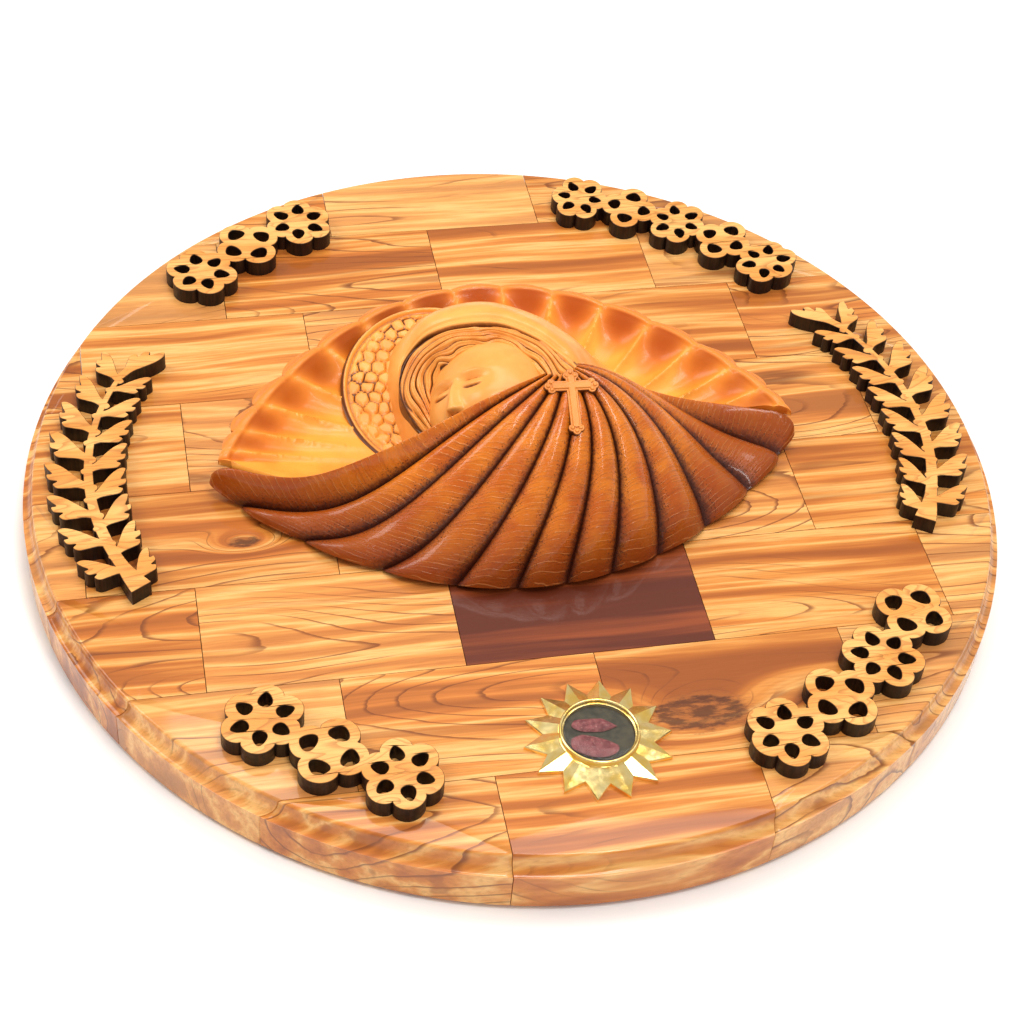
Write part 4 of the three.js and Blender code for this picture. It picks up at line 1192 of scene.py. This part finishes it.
def build_sunburst(material):
    """Rays round a seat. Each column of the grid runs from the seat to the edge, which is straight between a
    ray's tip and the valley beside it. The plate steps up at the seat's edge and slopes down outward. Its
    height falls from a ridge in a ray's middle to the valleys, so every ray has two flat faces."""
    columns = SUN_RAYS * 8
    turn = np.arange(columns) * TAU / columns
    ray = np.abs(((turn * SUN_RAYS / TAU) % 1) * 2 - 1)
    half = math.pi / SUN_RAYS
    away = (1 - ray) * half
    across = SUN_VALLEY * math.sin(half)
    beyond = SUN_TIP - SUN_VALLEY * math.cos(half)
    edge = SUN_TIP * across / (across * np.cos(away) + beyond * np.sin(away))
    steps = np.array([0.03, 0.05, 0.3, 0.6, 0.96, 1.0])[:, None]
    reach = SUN_SEAT + (edge[None] - SUN_SEAT) * steps
    ridge = 2.95 - 1.85 * steps
    valley = 2.45 - 1.25 * steps
    height = valley + (ridge - valley) * ray[None] - 0.18 * (steps == 1.0)
    height[0] = 1.95
    centre = np.zeros((1, columns))
    reach = np.vstack([centre + 0.3, reach])
    height = np.vstack([centre + 1.95, height])
    plan = np.dstack([SUN_SPOT[0] + reach * np.cos(turn), SUN_SPOT[1] + reach * np.sin(turn)])
    top = np.dstack([plan, DECK + height])
    foot = np.dstack([plan[-1:], np.full((1, columns), DECK + 0.02)])
    rings = np.concatenate([np.dstack([plan[:1], np.full((1, columns), DECK + 0.02)]), foot, top[::-1]])
    points, faces = closed_rings(rings)
    piece = mesh_piece("ridged_sunburst", points, faces, material, ["sunburst"], sharp=8)
    merge_doubles(piece)


def turned_grid(profile):
    """One ring for each point of a profile, its radius and its height above the case's floor."""
    profile = np.asarray(profile, float)
    turn = np.linspace(0, TAU, CASE_STEPS, endpoint=False)
    ring = np.stack([np.cos(turn), np.sin(turn)], -1)
    plan = np.asarray(SUN_SPOT) + profile[:, 0, None, None] * ring[None]
    return np.dstack([plan, np.repeat(CASE_FLOOR + profile[:, 1, None], CASE_STEPS, 1)])


def turned_piece(name, profile, material, node):
    """A solid lathe piece of the relic case, closed on its axis."""
    points, faces = closed_rings(turned_grid(profile))
    merge_doubles(mesh_piece(name, points, faces, material, [node], sharp=35))


def build_case(gold, glass, card, stone):
    """The sunburst, the bezel with its groove and rolled crown, the lens, the card and the stones."""
    build_sunburst(gold)
    bend = np.linspace(0, math.pi, 14)
    middle, half = (BEZEL_RADIUS + LENS_RADIUS) / 2, (BEZEL_RADIUS - LENS_RADIUS) / 2
    crown = np.stack([middle + half * np.cos(bend), BEZEL_HEIGHT - CROWN * (1 - np.sin(bend))], -1)
    groove, seat = BEZEL_RADIUS - BEZEL_GROOVE, LENS_RADIUS - LENS_SEAT
    outside = [(BEZEL_RADIUS, 0), (BEZEL_RADIUS, 0.7), (groove, 0.8), (groove, 0.95), (BEZEL_RADIUS, 1.05)]
    inside = [(LENS_RADIUS, 1.5), (seat, 1.45), (seat, 0)]
    rings = turned_grid(np.vstack([outside, crown, inside, outside[:1]]))
    faces = grid_faces(len(rings), CASE_STEPS, wrap=True)
    merge_doubles(mesh_piece("rolled_bezel", rings, faces, gold, ["bezel_ring"], sharp=35))
    fall = np.linspace(0, math.pi / 2, 16)
    lens = LENS_RADIUS - LENS_PLAY
    dome = np.stack([lens * np.cos(fall), 1.95 + LENS_RISE * np.sin(fall)], -1)
    dome = np.vstack([[(ON_AXIS, 1.55), (lens, 1.55)], dome])
    turned_piece("domed_lens", dome, glass, "case_lens")
    disc = LENS_RADIUS - CARD_PLAY
    card_profile = [(ON_AXIS, 0.01), (disc, 0.01), (disc, 0.3), (disc - 0.1, 0.4), (disc * 0.5, 0.4),
                    (ON_AXIS, 0.4)]
    turned_piece("card_disc", card_profile, card, "backing_disc")
    build_stone("upper_chip", "upper_stone", (-0.6, 2.9), (5.8, 2.5), -0.12, 3, stone)
    build_stone("lower_chip", "lower_stone", (-2.0, -3.3), (6.2, 3.6), -0.3, 8, stone)


def build_stone(name, node, spot, half, lie, seed, material):
    """A rough chip: a ball pushed flat along random planes, for facets, then stretched and laid down."""
    rng = np.random.default_rng(seed)
    turn = np.linspace(0, TAU, 90, endpoint=False)[None]
    polar = np.linspace(0.02, math.pi - 0.02, 50)[:, None]
    girth = np.sin(polar)
    ball = np.dstack([girth * np.cos(turn), girth * np.sin(turn), np.cos(polar) * np.ones_like(turn)])
    for _ in range(16):
        plane = rng.normal(size=3)
        plane /= np.linalg.norm(plane)
        over = np.maximum(ball @ plane - rng.uniform(0.62, 0.86), 0)
        ball = ball - over[..., None] * plane * 0.92
    ball = ball * (half[0], half[1], 0.5)
    plan = turned(ball[..., :2], lie, (SUN_SPOT[0] + spot[0], SUN_SPOT[1] + spot[1]))
    points, faces = closed_rings(np.dstack([plan, CASE_FLOOR + 0.95 + ball[..., 2]])[::-1])
    merge_doubles(mesh_piece(name, points, faces, material, [node], sharp=25))


# ---------------------------------------------------------------- studio
CAMERA_AZIMUTH, CAMERA_ELEVATION, CAMERA_ROLL = -14.77, 45.61, 5.47
CAMERA_PLACE = (-0.10576, -0.40142, 0.42138)
LENS, SENSOR = 73.1, 36.0
FLOOR_HALF, FLOOR_DROP = 3.0, 0.0003
SKY_COLOUR, SKY_STRENGTH = (1.0, 0.99, 0.975, 1), 0.5
LAMP_TINT = (1.0, 0.98, 0.95)
LAMPS = [
    ("overhead", (0.1, -0.25, 1.1), (0, 0, 0.02), (0.3, 0.45), 5.5),
    ("window", (-0.9, 0.35, 1.0), (0, 0, 0.02), (0.6, 0.6), 6.5),
    ("back_panel", (0.2, 0.34, 1.12), (0, 0, 0.02), (1.0, 0.4), 6.0),
    ("front_strip", (0.22, -0.68, 0.95), (0, 0, 0.03), (0.05, 0.35), 1.2),
]


def set_axes(item, right, up, back, place):
    """Puts a camera or a light at a place, with its axes along right, up and back."""
    world = Matrix.Identity(4)
    for column, axis in enumerate((right, up, back, place)):
        for row in range(3):
            world[row][column] = axis[row]
    item.matrix_world = world


def level_right(back):
    """The level axis to the right of something that faces away from back."""
    right = np.cross((0, 0, 1), back)
    return right / np.linalg.norm(right)


def add_camera():
    """The camera looks down its own negative Z: its axes are worked out from azimuth, elevation and roll."""
    azimuth, elevation, roll = [math.radians(v) for v in (CAMERA_AZIMUTH, CAMERA_ELEVATION, CAMERA_ROLL)]
    level = math.cos(elevation)
    back = np.array([math.sin(azimuth) * level, -math.cos(azimuth) * level, math.sin(elevation)])
    right = level_right(back)
    up = np.cross(back, right)
    rolled_right = math.cos(roll) * right + math.sin(roll) * up
    rolled_up = -math.sin(roll) * right + math.cos(roll) * up
    data = bpy.data.cameras.new("view")
    data.lens, data.sensor_width = LENS, SENSOR
    camera = bpy.data.objects.new("view", data)
    bpy.context.scene.collection.objects.link(camera)
    set_axes(camera, rolled_right, rolled_up, back, CAMERA_PLACE)
    bpy.context.scene.camera = camera


def add_light(name, place, target, size, power):
    """A rectangular lamp at a place, turned to a target."""
    data = bpy.data.lights.new(name, "AREA")
    data.shape = "RECTANGLE"
    data.size, data.size_y = size
    data.energy = power
    data.color = LAMP_TINT
    light = bpy.data.objects.new(name, data)
    bpy.context.scene.collection.objects.link(light)
    back = np.array(place, float) - np.array(target, float)
    back /= np.linalg.norm(back)
    right = level_right(back)
    set_axes(light, right, np.cross(back, right), back, place)


def add_studio():
    """A plain pale floor, an even sky and four soft lamps."""
    half, drop = FLOOR_HALF, -FLOOR_DROP
    corners = [(-half, -half, drop), (half, -half, drop), (half, half, drop), (-half, half, drop)]
    mesh = bpy.data.meshes.new("floor")
    mesh.from_pydata(corners, [], [(0, 1, 2, 3)])
    mesh.materials.append(studio_floor())
    floor = bpy.data.objects.new("floor", mesh)
    bpy.context.scene.collection.objects.link(floor)
    world = bpy.data.worlds.new("studio")
    bpy.context.scene.world = world
    world.use_nodes = True
    sky = world.node_tree.nodes["Background"]
    sky.inputs["Color"].default_value = SKY_COLOUR
    sky.inputs["Strength"].default_value = SKY_STRENGTH
    for lamp in LAMPS:
        add_light(*lamp)
    bpy.context.scene.view_settings.view_transform = "Standard"


# ---------------------------------------------------------------- the plaque
add_camera()
add_studio()
build_board(olive_wood())
build_valve(ribbed_resin())
build_dish(dish_resin())
ply = burnt_ply()
for band in BANDS:
    build_band(band, ply)
for branch in BRANCHES:
    build_branch(branch, ply)
build_case(gilt(), lens_glass(), case_card(), stone_chip())
# Each figure resin: the build, the material's name, pale and deep colours, and the colour of its painted
# shade.
for build, *resin in (
    (build_halo, "halo_resin", "f5a648", "ea9236", "41180d"),
    (build_hood, "hood_resin", "f4ab55", "ea9a44", "4a1c0e"),
    (build_hair, "hair_resin", "eca04a", "da8330", "36130a"),
    (build_collar, "cloth_resin", "f2a850", "e39440", "4a1c10"),
    (build_head, "face_resin", "f0a552", "e89a46", "6b2f14"),
    (build_cross, "cross_resin", "e08a34", "cf7826", "40160a"),
):
    build(figure_resin(*resin))
